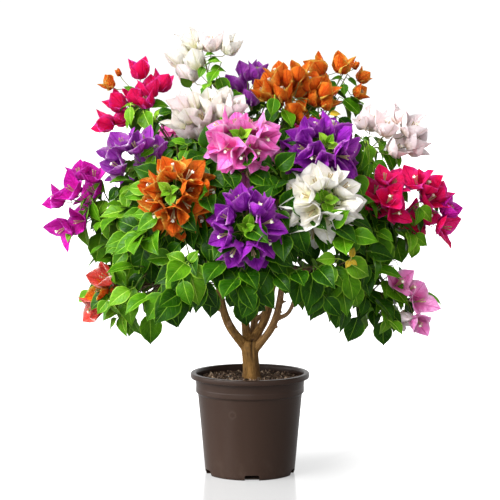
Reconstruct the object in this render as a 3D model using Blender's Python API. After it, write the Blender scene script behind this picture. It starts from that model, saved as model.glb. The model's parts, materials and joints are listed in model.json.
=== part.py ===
"""Bougainvillea bonsai, grafted with many colours, in its plastic nursery pot.

Metres, +Z up. The origin is under the middle of the pot, on the flat underside that it stands on.
The trunk forks into five boughs. Smaller boughs leave those, and each bough ends where it enters
a mass of foliage. A mass keeps to its own cone of space round the heart of the crown.
"""
import math
import random
from collections import namedtuple

import bmesh
import bpy
from mathutils import Quaternion, Vector
from mathutils.bvhtree import BVHTree

# The pot, a 3 litre one
RIM_RADIUS = 0.095
POT_HEIGHT = 0.162
RIM_DEPTH = 0.0085
COLLAR_RADIUS = 0.0872
COLLAR_FOOT_RADIUS = 0.0860
COLLAR_DEPTH = 0.031
BODY_RADIUS = 0.0828
FOOT_RADIUS = 0.0716
WALL = 0.0018
FLOOR = 0.0025
NOTCHES = 5
NOTCH_WIDTH = 0.021
NOTCH_HEIGHT = 0.0065
NOTCH_DEPTH = 0.011
POT_SIDES = 36
SHARP_ANGLE = math.radians(35)

# Two pieces that touch keep this gap
SEAT = 0.0003
SOIL_DROP = 0.011
SOIL_GAP = 0.0007
SOIL_SIDES = 24
SOIL_LEVEL = POT_HEIGHT - SOIL_DROP

# The trunk, and the fork of five boughs at its top
TRUNK_FOOT = SOIL_LEVEL + SEAT
TRUNK_FORK = 0.206
TRUNK_RADIUS = 0.0137
TRUNK_FLARE = 0.0160
TRUNK_SIDES = 12
BOUGH_SIDES = 8
SMALL_BOUGH_SIDES = 6
STEM_SIDES = 4
TWIG_SIDES = 3
STEM_TIP = 0.0024
TWIG_ROOT = 0.0017
TWIG_TIP = 0.0012
BOUGH_TIP = 0.0040
SMALL_BOUGH_TIP = 0.0027
SIDE_BOUGH = 0.62
STUB_SWELL = 1.2
STUB_CLEAR = 0.0015
LEAVING = math.radians(52)

# The crown is measured from its heart, above the fork
HEART = Vector((0.0, 0.0, 0.36))
ENTRY = 0.100
SHELL_SIDE = 0.222
SHELL_DEPTH = 0.210
SHELL_TOP = 0.180
HUB_SHARE = 0.74
SKIRT_SIDE = math.radians(-31)
SKIRT_FRONT = math.radians(-14)
SHOOTS_ROUND = 124
CELL_CLEAR = 0.0007
LIMB_CLEAR = 0.0012

# A leaf and a flower of three bracts
LEAF_LENGTH = 0.077
LEAF_WIDTH = 0.76
LEAF_WIDEST = 0.42
LEAF_THICK = 0.0016
LEAF_STEP = 0.0108
LEAF_DROOP = 0.75
LEAF_LIFT = 0.16
LEAF_SHRINK = 0.96
LEAF_CUP = 0.22
LEAF_NOD = 0.06
LEAF_SWING = math.radians(55)
LEAF_TRIES = 8
ROOT_SHARE = 0.3
ROOT_DEPTH = 0.0005
BRACT_SPAN = 0.0260
FLOWER_LENGTH = 0.052
STALK = 0.026
THROAT = 0.0022
MIDDLE = 0.036
GOLDEN = math.radians(137.508)

# A bough at the fork: its root inside the trunk, the way it leaves, and its radius there
Start = namedtuple("Start", "root way radius")
FORK_REACH = 0.032
FORK = {
    "left": Start((-0.004, 0.000, 0.199), (-0.62, -0.14, 0.77), 0.0077),
    "centre": Start((-0.004, 0.005, 0.208), (-0.10, 0.34, 0.94), 0.0070),
    "right_middle": Start((0.002, 0.004, 0.206), (0.50, 0.12, 0.86), 0.0074),
    "right": Start((0.006, -0.003, 0.197), (0.61, -0.22, 0.76), 0.0066),
    "back": Start((0.002, 0.006, 0.203), (0.10, 0.82, 0.57), 0.0066),
}

# A mass, as seen from the heart: bearing from +X and rise above level, in degrees,
# then the bough that feeds it and how far along that bough its own one leaves
Mass = namedtuple("Mass", "bearing rise parent share")
MASSES = {
    "left": Mass(180, 15, "fork", "left"),
    "top_left": Mass(190, 75, "fork", "centre"),
    "top_right": Mass(17, 60, "fork", "right_middle"),
    "right": Mass(-4, 14, "fork", "right"),
    "back": Mass(90, 8, "fork", "back"),
    "left_low": Mass(193, -19, "left", 0.22),
    "front_left_low": Mass(237, -15, "left", 0.42),
    "front_left": Mass(236, 25, "left", 0.60),
    "upper_left_front": Mass(206, 38, "left", 0.80),
    "front": Mass(269, 10, "top_left", 0.16),
    "upper_left": Mass(165, 51, "top_left", 0.44),
    "front_top": Mass(266, 50, "top_left", 0.66),
    "front_right_upper": Mass(-47, 45, "top_right", 0.34),
    "top": Mass(45, 78, "top_right", 0.62),
    "upper_right": Mass(0, 39, "right", 0.74),
    "front_right": Mass(-59, 21, "right", 0.52),
    "front_right_low": Mass(-50, -15, "right", 0.34),
    "right_low": Mass(-8, -19, "right", 0.16),
    "back_left": Mass(142, 14, "back", 0.72),
    "back_right": Mass(38, 14, "back", 0.56),
    "back_upper_left": Mass(122, 44, "back", 0.88),
    "back_upper_right": Mass(56, 44, "back", 0.40),
    "back_left_low": Mass(130, -19, "back", 0.26),
    "back_right_low": Mass(50, -19, "back", 0.12),
}

# A posy is a tight dome of flowers, a loose spray has them strung along more of its twig:
# the length of twig that they stand on, how far the lowest ones lean out, and how far
# the twig's end lies behind the middle of the spray
Form = namedtuple("Form", "depth widest back")
FORMS = {
    "posy": Form(0.024, math.radians(82), 0.014),
    "loose": Form(0.052, math.radians(66), -0.012),
}

# The blossom that shows: the middle of each spray in the part's frame, and how many flowers
Spray = namedtuple("Spray", "mass colour place form count")
SPRAYS = (
    Spray("upper_left", "crimson", (-0.183, 0.035, 0.604), "loose", 6),
    Spray("top_left", "white", (-0.070, 0.030, 0.652), "loose", 6),
    Spray("top_left", "white", (-0.066, -0.045, 0.576), "posy", 5),
    Spray("top", "violet", (-0.001, 0.075, 0.618), "posy", 4),
    Spray("top", "orange", (0.068, 0.012, 0.610), "posy", 6),
    Spray("top_right", "orange", (0.145, 0.045, 0.630), "loose", 6),
    Spray("upper_right", "blush", (0.225, 0.000, 0.548), "loose", 6),
    Spray("upper_left_front", "violet", (-0.180, -0.080, 0.508), "posy", 7),
    Spray("left", "magenta", (-0.270, 0.000, 0.436), "loose", 6),
    Spray("front_left", "orange", (-0.116, -0.170, 0.458), "posy", 8),
    Spray("front_top", "pink", (-0.011, -0.140, 0.534), "posy", 8),
    Spray("front_right_upper", "violet", (0.113, -0.120, 0.522), "posy", 8),
    Spray("front_right", "white", (0.111, -0.185, 0.446), "posy", 8),
    Spray("front", "violet", (-0.005, -0.215, 0.408), "posy", 8),
    Spray("right", "crimson", (0.222, -0.062, 0.440), "posy", 4),
    Spray("right", "crimson", (0.282, -0.010, 0.424), "loose", 6),
    Spray("left_low", "coral", (-0.232, -0.040, 0.300), "loose", 4),
    Spray("right_low", "blush", (0.248, -0.035, 0.280), "loose", 4),
    Spray("back_upper_left", "pink", (-0.110, 0.150, 0.528), "posy", 7),
    Spray("back_upper_right", "crimson", (0.106, 0.150, 0.524), "posy", 7),
    Spray("back", "orange", (0.000, 0.215, 0.415), "posy", 7),
    Spray("back_left", "violet", (-0.176, 0.150, 0.425), "posy", 7),
    Spray("back_right", "magenta", (0.176, 0.150, 0.425), "posy", 7),
)

COLOURS = {
    "pot": ((0.062, 0.043, 0.035), 0.42),
    "soil": ((0.020, 0.013, 0.009), 0.95),
    "bark": ((0.210, 0.120, 0.055), 0.85),
    "leaf": ((0.055, 0.170, 0.018), 0.45),
    "crimson": ((0.720, 0.012, 0.080), 0.60),
    "magenta": ((0.650, 0.010, 0.420), 0.60),
    "pink": ((0.870, 0.140, 0.420), 0.60),
    "blush": ((0.850, 0.480, 0.620), 0.60),
    "white": ((0.880, 0.820, 0.800), 0.60),
    "violet": ((0.230, 0.045, 0.560), 0.60),
    "orange": ((0.720, 0.170, 0.020), 0.60),
    "coral": ((0.780, 0.130, 0.120), 0.60),
}


def clear_scene():
    for old in list(bpy.data.objects):
        bpy.data.objects.remove(old)


def material(name):
    colour, roughness = COLOURS[name]
    made = bpy.data.materials.get(name) or bpy.data.materials.new(name)
    made.use_nodes = True
    shader = made.node_tree.nodes["Principled BSDF"]
    shader.inputs["Base Color"].default_value = (*colour, 1.0)
    shader.inputs["Roughness"].default_value = roughness
    shader.inputs["Metallic"].default_value = 0.0
    return made


def mesh_object(name, points, faces, looks, parent=None):
    mesh = bpy.data.meshes.new(name)
    mesh.from_pydata([tuple(p) for p in points], [], faces)
    mesh.update()
    mesh.materials.append(material(looks))
    made = bpy.data.objects.new(name, mesh)
    bpy.context.scene.collection.objects.link(made)
    made.parent = parent
    return made


def turned(profile, sides):
    """A closed profile of (radius, height) spun about Z; a point on the axis stays one point."""
    points, faces, rings = [], [], []
    for radius, height in profile:
        if radius == 0:
            rings.append([len(points)])
            points.append(Vector((0, 0, height)))
            continue
        rings.append(list(range(len(points), len(points) + sides)))
        for k in range(sides):
            angle = 2 * math.pi * k / sides
            points.append(Vector((radius * math.cos(angle), radius * math.sin(angle), height)))
    for lower, upper in zip(rings, rings[1:]):
        for k in range(sides):
            after = (k + 1) % sides
            if len(lower) == 1:
                faces.append((lower[0], upper[after], upper[k]))
            elif len(upper) == 1:
                faces.append((lower[k], lower[after], upper[0]))
            else:
                faces.append((lower[k], lower[after], upper[after], upper[k]))
    return points, faces


def pot_inside():
    """The inner wall from the rim down to the floor, as (radius, height)."""
    collar_foot = POT_HEIGHT - COLLAR_DEPTH
    return [
        (COLLAR_RADIUS - WALL, POT_HEIGHT - 0.0030),
        (COLLAR_FOOT_RADIUS - WALL, collar_foot + 0.0010),
        (BODY_RADIUS - WALL, collar_foot - 0.0030),
        (FOOT_RADIUS - WALL, FLOOR),
    ]


def pot(parent):
    """One turned shell: foot, tapered body, collar with a step, rolled rim, then down the inside."""
    collar_foot = POT_HEIGHT - COLLAR_DEPTH
    rim_foot = POT_HEIGHT - RIM_DEPTH
    profile = [
        (0, 0),
        (FOOT_RADIUS - 0.0030, 0),
        (FOOT_RADIUS, 0.0025),
        (BODY_RADIUS, collar_foot - 0.0012),
        (COLLAR_FOOT_RADIUS, collar_foot),
        (COLLAR_RADIUS, rim_foot),
        (RIM_RADIUS - 0.0012, rim_foot + 0.0006),
        (RIM_RADIUS, rim_foot + 0.0030),
        (RIM_RADIUS - 0.0006, POT_HEIGHT - 0.0016),
        (RIM_RADIUS - 0.0024, POT_HEIGHT),
        (COLLAR_RADIUS - WALL + 0.0005, POT_HEIGHT - 0.0008),
        *pot_inside(),
        (0, FLOOR),
    ]
    made = mesh_object("pot", *turned(profile, POT_SIDES), "pot", parent)
    for k in range(NOTCHES):
        cutter = notch_cutter(k)
        cut = made.modifiers.new(cutter.name, "BOOLEAN")
        cut.operation = "DIFFERENCE"
        cut.object = cutter
    made.data.shade_smooth()
    made.data.set_sharp_from_angle(angle=SHARP_ANGLE)
    return made


def notch_cutter(k):
    """A box through the foot's edge, the first one at the front, the others spread evenly."""
    inner, outer = FOOT_RADIUS - NOTCH_DEPTH, FOOT_RADIUS + 0.01
    points = [
        Vector((x, y, z))
        for z in (-0.005, NOTCH_HEIGHT)
        for x, y in (
            (inner, -NOTCH_WIDTH / 2),
            (outer, -NOTCH_WIDTH / 2),
            (outer, NOTCH_WIDTH / 2),
            (inner, NOTCH_WIDTH / 2),
        )
    ]
    sides = [(0, 1, 5, 4), (1, 2, 6, 5), (2, 3, 7, 6), (3, 0, 4, 7)]
    made = mesh_object(f"notch_cutter_{k}", points, [(3, 2, 1, 0), (4, 5, 6, 7)] + sides, "pot")
    made.rotation_euler.z = math.radians(-90) + 2 * math.pi * k / NOTCHES
    made.hide_render = True
    made.display_type = "WIRE"
    return made


def soil(parent):
    """The root ball in its potting mix, which fills the pot up to a flat top under the rim."""
    rim, collar_foot, shoulder, foot = pot_inside()
    share = (SOIL_LEVEL - collar_foot[1]) / (rim[1] - collar_foot[1])
    top = collar_foot[0] + share * (rim[0] - collar_foot[0])
    wall = [foot, shoulder, collar_foot, (top, SOIL_LEVEL)]
    profile = [(0, FLOOR + SEAT), (foot[0] - SOIL_GAP, FLOOR + SEAT)]
    profile += [(radius - SOIL_GAP, height) for radius, height in wall[1:]]
    profile.append((0, SOIL_LEVEL))
    return mesh_object("soil", *turned(profile, SOIL_SIDES), "soil", parent)


def turned_frame(way):
    """Two directions square to a way, the same ones each time."""
    way = way.normalized()
    side = way.cross(Vector((0.31, -0.22, 0.92)) if abs(way.z) < 0.85 else Vector((1, 0.2, 0)))
    side.normalize()
    return side, way.cross(side)


def bezier_at(corners, t):
    """A point of a cubic curve, and the way that the curve runs there."""
    a, b, c, d = corners
    u = 1 - t
    point = a * u**3 + b * 3 * u * u * t + c * 3 * u * t * t + d * t**3
    way = (b - a) * u * u + (c - b) * 2 * u * t + (d - c) * t * t
    return point, way.normalized()


class Path:
    """A smooth line as a few points, with the way that it runs at each."""

    def __init__(self, points, ways):
        self.points, self.ways = points, ways

    @classmethod
    def swept(cls, start, way_out, end, way_in, steps):
        """Leaves start along way_out and comes to end along way_in."""
        pull = (end - start).length * 0.36
        leave, arrive = start + way_out.normalized() * pull, end - way_in.normalized() * pull
        made = [bezier_at((start, leave, arrive, end), k / steps) for k in range(steps + 1)]
        return cls([point for point, _ in made], [way for _, way in made])

    @classmethod
    def straight(cls, start, end):
        return cls([start, end], [(end - start).normalized()] * 2)

    def at(self, share):
        """The place at a share of the path, and the way that it runs there."""
        along = min(max(share, 0.0), 1.0) * (len(self.points) - 1)
        k = min(int(along), len(self.points) - 2)
        point = self.points[k].lerp(self.points[k + 1], along - k)
        return point, self.ways[k].lerp(self.ways[k + 1], along - k).normalized()

    def length(self):
        return sum((b - a).length for a, b in zip(self.points, self.points[1:]))


def tube(path, first, last, sides):
    """A closed tube that tapers from its first radius to its last. It never twists."""
    side, _ = turned_frame(path.ways[0])
    points, faces = [], []
    for k, (centre, way) in enumerate(zip(path.points, path.ways)):
        radius = first + (last - first) * k / (len(path.points) - 1)
        side = (side - way * side.dot(way)).normalized()
        across = way.cross(side)
        for j in range(sides):
            angle = 2 * math.pi * j / sides
            points.append(centre + (side * math.cos(angle) + across * math.sin(angle)) * radius)
        if k:
            low, high = (k - 1) * sides, k * sides
            for j in range(sides):
                after = (j + 1) % sides
                faces.append((low + j, low + after, high + after, high + j))
    end = (len(path.points) - 1) * sides
    faces.append(tuple(reversed(range(sides))))
    faces.append(tuple(range(end, end + sides)))
    return points, faces


class Limb:
    """A bough: its path, its two radii, and the stubs on it that other boughs start from."""

    def __init__(self, path, first, last, sides):
        self.path, self.first, self.last, self.sides = path, first, last, sides
        self.stubs = []

    def radius_at(self, share):
        return self.first + (self.last - self.first) * share


def direction_of(name):
    """The way from the heart to the middle of a mass."""
    bearing, rise = math.radians(MASSES[name].bearing), math.radians(MASSES[name].rise)
    level = math.cos(rise)
    return Vector((level * math.cos(bearing), level * math.sin(bearing), math.sin(rise)))


def fork_stub(name):
    root, way, radius = FORK[name]
    root, way = Vector(root), Vector(way).normalized()
    return root, way, radius, root + way * FORK_REACH


def leaving(run, towards):
    """The way that a side bough leaves its parent: at a fixed angle, on the side that it grows to."""
    off = (towards - run * towards.dot(run)).normalized()
    return run * math.cos(LEAVING) + off * math.sin(LEAVING)


def plan_limbs():
    """Every bough, from the fork outwards. Each ends where it enters its mass."""
    limbs = {}
    for name, mass in MASSES.items():
        way_in = direction_of(name)
        end = HEART + way_in * ENTRY
        if mass.parent == "fork":
            _, way, radius, start = fork_stub(mass.share)
            path = Path.swept(start + way * SEAT, way, end, way_in, 6)
            limbs[name] = Limb(path, radius, BOUGH_TIP, BOUGH_SIDES)
            continue
        parent = limbs[mass.parent]
        root, run = parent.path.at(mass.share)
        thick = parent.radius_at(mass.share)
        radius = thick * SIDE_BOUGH
        way = leaving(run, end - root)
        start = root + way * ((thick + radius + STUB_CLEAR) / math.sin(LEAVING))
        parent.stubs.append((root, radius, start))
        path = Path.swept(start + way * SEAT, way, end, way_in, 4)
        limbs[name] = Limb(path, radius, SMALL_BOUGH_TIP, SMALL_BOUGH_SIDES)
    return limbs


def keep_main_body(mesh):
    """Drops loose scraps, and the walls of hollows that the fusing sealed."""
    work = bmesh.new()
    work.from_mesh(mesh)
    bmesh.ops.triangulate(work, faces=work.faces)
    left, bodies = set(work.faces), []
    while left:
        body, waiting = [], [left.pop()]
        while waiting:
            face = waiting.pop()
            body.append(face)
            beside = {other for edge in face.edges for other in edge.link_faces} & left
            left -= beside
            waiting.extend(beside)
        bodies.append(body)
    bodies.sort(key=len)
    scraps = [face for body in bodies[:-1] for face in body]
    bmesh.ops.delete(work, geom=scraps, context="FACES")
    work.to_mesh(mesh)
    work.free()
    mesh.update()


def fused(name, shapes, parent):
    """One solid from overlapping ones: a Boolean union on a collection, applied."""
    group = bpy.data.collections.new(name + "_shapes")
    bpy.context.scene.collection.children.link(group)
    for k, (points, faces, looks) in enumerate(shapes[1:]):
        shape = mesh_object(f"{name}_shape_{k}", points, faces, looks)
        bpy.context.scene.collection.objects.unlink(shape)
        group.objects.link(shape)
    made = mesh_object(name, *shapes[0], parent)
    if len(shapes) > 1:
        join = made.modifiers.new("join", "BOOLEAN")
        join.operation = "UNION"
        join.operand_type = "COLLECTION"
        join.collection = group
        join.material_mode = "TRANSFER"
        graph = bpy.context.evaluated_depsgraph_get()
        joined = bpy.data.meshes.new_from_object(made.evaluated_get(graph), depsgraph=graph)
        made.modifiers.clear()
        made.data = joined
        keep_main_body(joined)
    for shape in list(group.objects):
        bpy.data.objects.remove(shape)
    bpy.data.collections.remove(group)
    return made


def trunk(parent):
    """Root flare, column and the five stubs of the fork. Its foot is a flat cut on the soil."""
    levels = (
        (TRUNK_FOOT, TRUNK_FLARE, 0.0032),
        (TRUNK_FOOT + 0.016, TRUNK_RADIUS, 0.0022),
        (TRUNK_FORK - 0.018, TRUNK_RADIUS, 0.0009),
        (TRUNK_FORK - 0.005, TRUNK_RADIUS * 1.08, 0.000),
        (TRUNK_FORK + 0.007, TRUNK_RADIUS * 0.90, 0.001),
    )
    points, faces = turned([(radius, z) for z, radius, _ in levels], TRUNK_SIDES)
    for k, (_, _, lean) in enumerate(levels):
        for point in points[k * TRUNK_SIDES : (k + 1) * TRUNK_SIDES]:
            point.x += lean
    last = (len(levels) - 1) * TRUNK_SIDES
    faces.append(tuple(reversed(range(TRUNK_SIDES))))
    faces.append(tuple(range(last, last + TRUNK_SIDES)))
    shapes = [(points, faces, "bark")]
    for name in FORK:
        root, way, radius, start = fork_stub(name)
        stub = Path.straight(root - way * 0.006, start)
        shapes.append((*tube(stub, radius * STUB_SWELL, radius, BOUGH_SIDES), "bark"))
    return fused("trunk", shapes, parent)


def bough(name, limb, parent):
    shapes = [(*tube(limb.path, limb.first, limb.last, limb.sides), "bark")]
    for root, radius, start in limb.stubs:
        stub = Path.straight(root, start)
        shapes.append((*tube(stub, radius * STUB_SWELL, radius, SMALL_BOUGH_SIDES), "bark"))
    return fused("bough_" + name, shapes, parent)


def cell_planes(name):
    """The planes through the heart that shut a mass off from its neighbours."""
    mine = direction_of(name)
    return [(mine - direction_of(other)).normalized() for other in MASSES if other != name]


def in_cell(points, planes):
    return all((p - HEART).dot(plane) > CELL_CLEAR for plane in planes for p in points)


def shell(way):
    """How far the leafy shoots reach from the heart, this way."""
    x, y, z = way.x / SHELL_SIDE, way.y / SHELL_DEPTH, way.z / SHELL_TOP
    return 1 / math.sqrt(x * x + y * y + z * z)


def lowest_shoot(way):
    """The crown's skirt hangs lower at the sides than at the front and the back."""
    sideways = abs(way.x) / max(math.hypot(way.x, way.y), 1e-6)
    return SKIRT_FRONT + (SKIRT_SIDE - SKIRT_FRONT) * sideways**2


def shoot_ends():
    """Places spread evenly over the crown, dealt out to the masses by direction."""
    ends = {name: [] for name in MASSES}
    for k in range(SHOOTS_ROUND):
        height = 1 - 2 * (k + 0.5) / SHOOTS_ROUND
        flat = math.sqrt(1 - height * height)
        way = Vector((flat * math.cos(k * GOLDEN), flat * math.sin(k * GOLDEN), height))
        if math.asin(height) < lowest_shoot(way):
            continue
        mass = max(MASSES, key=lambda name: way.dot(direction_of(name)))
        wobble = 0.93 + 0.14 * random.Random(k).random()
        ends[mass].append(HEART + way * shell(way) * wobble)
    return ends


def facing_of(place, form):
    """A posy looks out of the crown, more level than its twig. A loose spray runs on outwards."""
    out = place - HEART
    if form == "posy":
        return Vector((out.x * 0.5, out.y, (out.z - 0.02) * 0.7)).normalized()
    return out.normalized()


def leaf_shape(root, way, face, length):
    """Eight faces: a kite, thickest at its widest, with its two edges lifted a little."""
    way = way.normalized()
    across = way.cross(face).normalized()
    up = across.cross(way)
    half = length * LEAF_WIDTH / 2
    widest = root + way * length * LEAF_WIDEST
    points = [
        root - way * ROOT_DEPTH,
        widest + (across + up * LEAF_CUP) * half,
        root + (way - up * LEAF_NOD) * length,
        widest + (up * LEAF_CUP - across) * half,
        widest + up * LEAF_THICK / 2,
        widest - up * LEAF_THICK / 2,
    ]
    faces = [(0, 1, 4), (1, 2, 4), (2, 3, 4), (3, 0, 4), (1, 0, 5), (2, 1, 5), (3, 2, 5), (0, 3, 5)]
    return points, [tuple(reversed(face)) for face in faces]


def flower_shape(root, way, turn, size):
    """Three bracts as one funnel on a thin stalk: three tips, and a sunken middle."""
    way = way.normalized()
    side, across = turned_frame(way)
    throat, tips = [], []
    for k in range(3):
        angle = turn + 2 * math.pi * k / 3
        out = side * math.cos(angle) + across * math.sin(angle)
        throat.append(root + (way * STALK + out * THROAT) * size)
        tips.append(root + (way * FLOWER_LENGTH + out * BRACT_SPAN) * size)
    points = [root - way * ROOT_DEPTH, *throat, *tips, root + way * MIDDLE * size]
    faces = []
    for k in range(3):
        low, low_after, high, high_after = 1 + k, 1 + (k + 1) % 3, 4 + k, 4 + (k + 1) % 3
        faces += [(0, low_after, low), (low, low_after, high), (low_after, high_after, high)]
        faces.append((7, high, high_after))
    return points, faces


def solid(shape, held_back=0.0):
    """A search tree of a shape. Its root may be held back, so that it doesn't count."""
    points, faces = shape
    middle = sum(points, Vector()) / len(points)
    return BVHTree.FromPolygons([points[0].lerp(middle, held_back)] + points[1:], faces)


class Growth:
    """What one mass has grown so far, and the tests that each new piece must pass."""

    def __init__(self, name, limb_trees):
        self.planes = cell_planes(name)
        self.limb_trees = limb_trees
        self.shapes = []
        self.grown = []

    def clear_of_limbs(self, shape):
        tree, points = solid(shape), shape[0]
        middle = sum(points, Vector()) / len(points)
        samples = [*points, *[point.lerp(middle, 0.5) for point in points], middle]
        for limb in self.limb_trees:
            if limb.overlap(tree):
                return False
            if any(limb.find_nearest(point, LIMB_CLEAR)[0] is not None for point in samples):
                return False
        return True

    def add_twig(self, path):
        shape = tube(path, TWIG_ROOT, TWIG_TIP, TWIG_SIDES)
        if not in_cell(shape[0], self.planes) or not self.clear_of_limbs(shape):
            return False
        self.shapes.append((*shape, "bark"))
        self.grown.append(solid(shape))
        return True

    def add_blade(self, shape, looks):
        """Adds a leaf or a flower, unless it would run through something that has grown."""
        if not in_cell(shape[0], self.planes) or not self.clear_of_limbs(shape):
            return False
        tree = solid(shape, ROOT_SHARE)
        if any(other.overlap(tree) for other in self.grown):
            return False
        self.shapes.append((*shape, looks))
        self.grown.append(tree)
        return True


def leaf_lie(place, run, angle, hang, swing):
    """Which way a leaf points and faces: off the twig, out of the crown, and down, a little swung."""
    side, across = turned_frame(run)
    off = side * math.cos(angle) + across * math.sin(angle)
    out = (place - HEART).normalized()
    level = Vector((out.x, out.y, 0.0))
    way = off * 0.75 + level * 0.35 + out * 0.25 - Vector((0, 0, hang))
    swung = Quaternion((0, 0, 1), swing) @ level
    face = swung * 0.9 + out * 0.3 + off * 0.15 + Vector((0, 0, 0.55))
    return way.normalized(), face.normalized()


def leaf_up(growth, path, first, last, rng, size=1.0, step=LEAF_STEP):
    """Leaves at the golden angle along a stretch of twig. One that doesn't fit turns and lifts."""
    count = max(1, round(path.length() * (last - first) / step))
    turn = rng.random() * 2 * math.pi
    for k in range(count):
        place, run = path.at(last - (last - first) * k / count)
        long = LEAF_LENGTH * size * (0.82 + 0.30 * rng.random())
        hang = LEAF_DROOP * (0.83 + 0.34 * rng.random())
        swing = LEAF_SWING * (2 * rng.random() - 1)
        for attempt in range(LEAF_TRIES):
            angle = turn + k * GOLDEN + attempt * 2 * math.pi / LEAF_TRIES
            way, face = leaf_lie(place, run, angle, hang - attempt * LEAF_LIFT, swing)
            if growth.add_blade(leaf_shape(place, way, face, long * LEAF_SHRINK**attempt), "leaf"):
                break


def blossom(growth, path, facing, spray, rng):
    """Flowers from the twig's end backwards, leaning out more and more, at the golden angle."""
    form = FORMS[spray.form]
    turn = rng.random() * 2 * math.pi
    side, across = turned_frame(facing)
    for k in range(spray.count):
        root, _ = path.at(1.0 - form.depth * k / spray.count / path.length())
        lean = math.acos(1 - (1 - math.cos(form.widest)) * (k + 0.3) / spray.count)
        angle = turn + k * GOLDEN
        off = side * math.cos(angle) + across * math.sin(angle)
        way = facing * math.cos(lean) + off * math.sin(lean)
        flower = flower_shape(root, way, rng.random() * 2, 0.95 + 0.1 * rng.random())
        growth.add_blade(flower, spray.colour)


def spray_twig(spray, stem, out, rng):
    """The twig of a spray, which ends in the midst of its flowers."""
    place = Vector(spray.place)
    facing = facing_of(place, spray.form)
    start, run = stem.at(0.5 + 0.3 * rng.random())
    end = place - facing * FORMS[spray.form].back
    return Path.swept(start, run + out * 0.4, end, facing, 3), facing


def leafy_twig(place, stem, rng):
    start, run = stem.at(0.15 + 0.75 * rng.random())
    towards = (place - start).normalized()
    return Path.swept(start, run + towards, place, towards + Vector((0, 0, -0.35)), 2)


def grow(name, limb, ends, limb_trees, seed):
    """One mass: a stem from the bough's tip, twigs that branch off it, then blossom and leaves."""
    rng = random.Random(seed)
    growth = Growth(name, limb_trees)
    out = direction_of(name)
    hub = HEART + out * shell(out) * HUB_SHARE
    stem = Path.straight(limb.path.points[-1] + out * SEAT, hub)
    growth.shapes.append((*tube(stem, limb.last, STEM_TIP, STEM_SIDES), "bark"))
    sprays, leafy = [], []
    for spray in [spray for spray in SPRAYS if spray.mass == name]:
        path, facing = spray_twig(spray, stem, out, rng)
        if growth.add_twig(path):
            sprays.append((spray, path, facing))
    for place in ends:
        path = leafy_twig(place, stem, rng)
        if growth.add_twig(path):
            leafy.append(path)
    for spray, path, facing in sprays:
        blossom(growth, path, facing, spray, rng)
        leaf_up(growth, path, 0.40, 0.85, rng, 0.85, 0.020)
    for path in leafy:
        leaf_up(growth, path, 0.34, 1.0, rng)
    return growth


def main():
    clear_scene()
    whole = bpy.data.objects.new("bougainvillea_bonsai", None)
    bpy.context.scene.collection.objects.link(whole)
    pot(whole)
    soil(whole)
    limbs = plan_limbs()
    wood = [trunk(whole)] + [bough(name, limb, whole) for name, limb in limbs.items()]
    graph = bpy.context.evaluated_depsgraph_get()
    limb_trees = [BVHTree.FromObject(piece, graph) for piece in wood]
    ends = shoot_ends()
    for seed, (name, limb) in enumerate(limbs.items()):
        growth = grow(name, limb, ends[name], limb_trees, seed)
        fused("foliage_" + name, growth.shapes, whole)


main()
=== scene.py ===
"""The looks of a bougainvillea bonsai, grafted with many colours, in its plastic nursery pot.

Metres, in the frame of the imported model: +Z up, the origin under the middle of the pot.
"""

import json
import math
import random
from collections import namedtuple

import bpy
import numpy as np
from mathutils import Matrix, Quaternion, Vector, noise
from mathutils.bvhtree import BVHTree
from mathutils.kdtree import KDTree

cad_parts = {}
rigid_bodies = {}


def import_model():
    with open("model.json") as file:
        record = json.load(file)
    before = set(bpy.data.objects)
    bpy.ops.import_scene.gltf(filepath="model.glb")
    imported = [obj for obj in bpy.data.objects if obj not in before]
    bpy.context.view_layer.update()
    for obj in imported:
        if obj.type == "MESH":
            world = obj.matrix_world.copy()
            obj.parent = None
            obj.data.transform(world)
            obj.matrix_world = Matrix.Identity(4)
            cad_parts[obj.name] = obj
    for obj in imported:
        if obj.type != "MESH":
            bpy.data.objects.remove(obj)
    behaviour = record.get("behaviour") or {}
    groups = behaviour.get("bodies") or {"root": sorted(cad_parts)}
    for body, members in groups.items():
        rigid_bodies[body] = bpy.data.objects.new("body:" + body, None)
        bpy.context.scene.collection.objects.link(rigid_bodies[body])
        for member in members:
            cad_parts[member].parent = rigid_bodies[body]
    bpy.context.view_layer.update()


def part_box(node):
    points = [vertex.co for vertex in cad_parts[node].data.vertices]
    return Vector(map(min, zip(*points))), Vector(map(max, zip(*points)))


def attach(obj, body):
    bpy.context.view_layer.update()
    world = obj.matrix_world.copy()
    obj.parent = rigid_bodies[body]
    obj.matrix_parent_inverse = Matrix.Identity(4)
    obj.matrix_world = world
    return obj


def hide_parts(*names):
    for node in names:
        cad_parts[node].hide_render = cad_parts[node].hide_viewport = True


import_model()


# Nursery pot: a thin shell of brown recycled polypropylene, injection moulded in one piece. The
# rolled lip stiffens its mouth, the stepped collar keeps stacked pots apart, and the notches that
# are moulded into the foot let water out. It stands on its flat underside.
POT_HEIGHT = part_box("pot")[1].z
LIP_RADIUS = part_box("pot")[1].x
LIP_DEPTH = 0.0085
COLLAR_RADIUS = 0.0872
COLLAR_FOOT_RADIUS = 0.0860
COLLAR_DEPTH = 0.031
COLLAR_FOOT = POT_HEIGHT - COLLAR_DEPTH
BEAD_HEIGHT = 0.0077
BEAD_PROUD = 0.0005
BODY_RADIUS = 0.0833
FOOT_RADIUS = 0.0716
WALL = 0.0018
FLOOR = 0.0025
NOTCHES = 5
NOTCH_WIDTH = 0.023
NOTCH_ROUND = 0.0030
NOTCH_HEIGHT = 0.0085
NOTCH_TURN = math.radians(-87.5)
NOTCH_DEPTH = 0.011
MARK = (-0.0270, -0.0758, 0.1050)
MARK_RADIUS = 0.0050
POT_SIDES = 180


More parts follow.
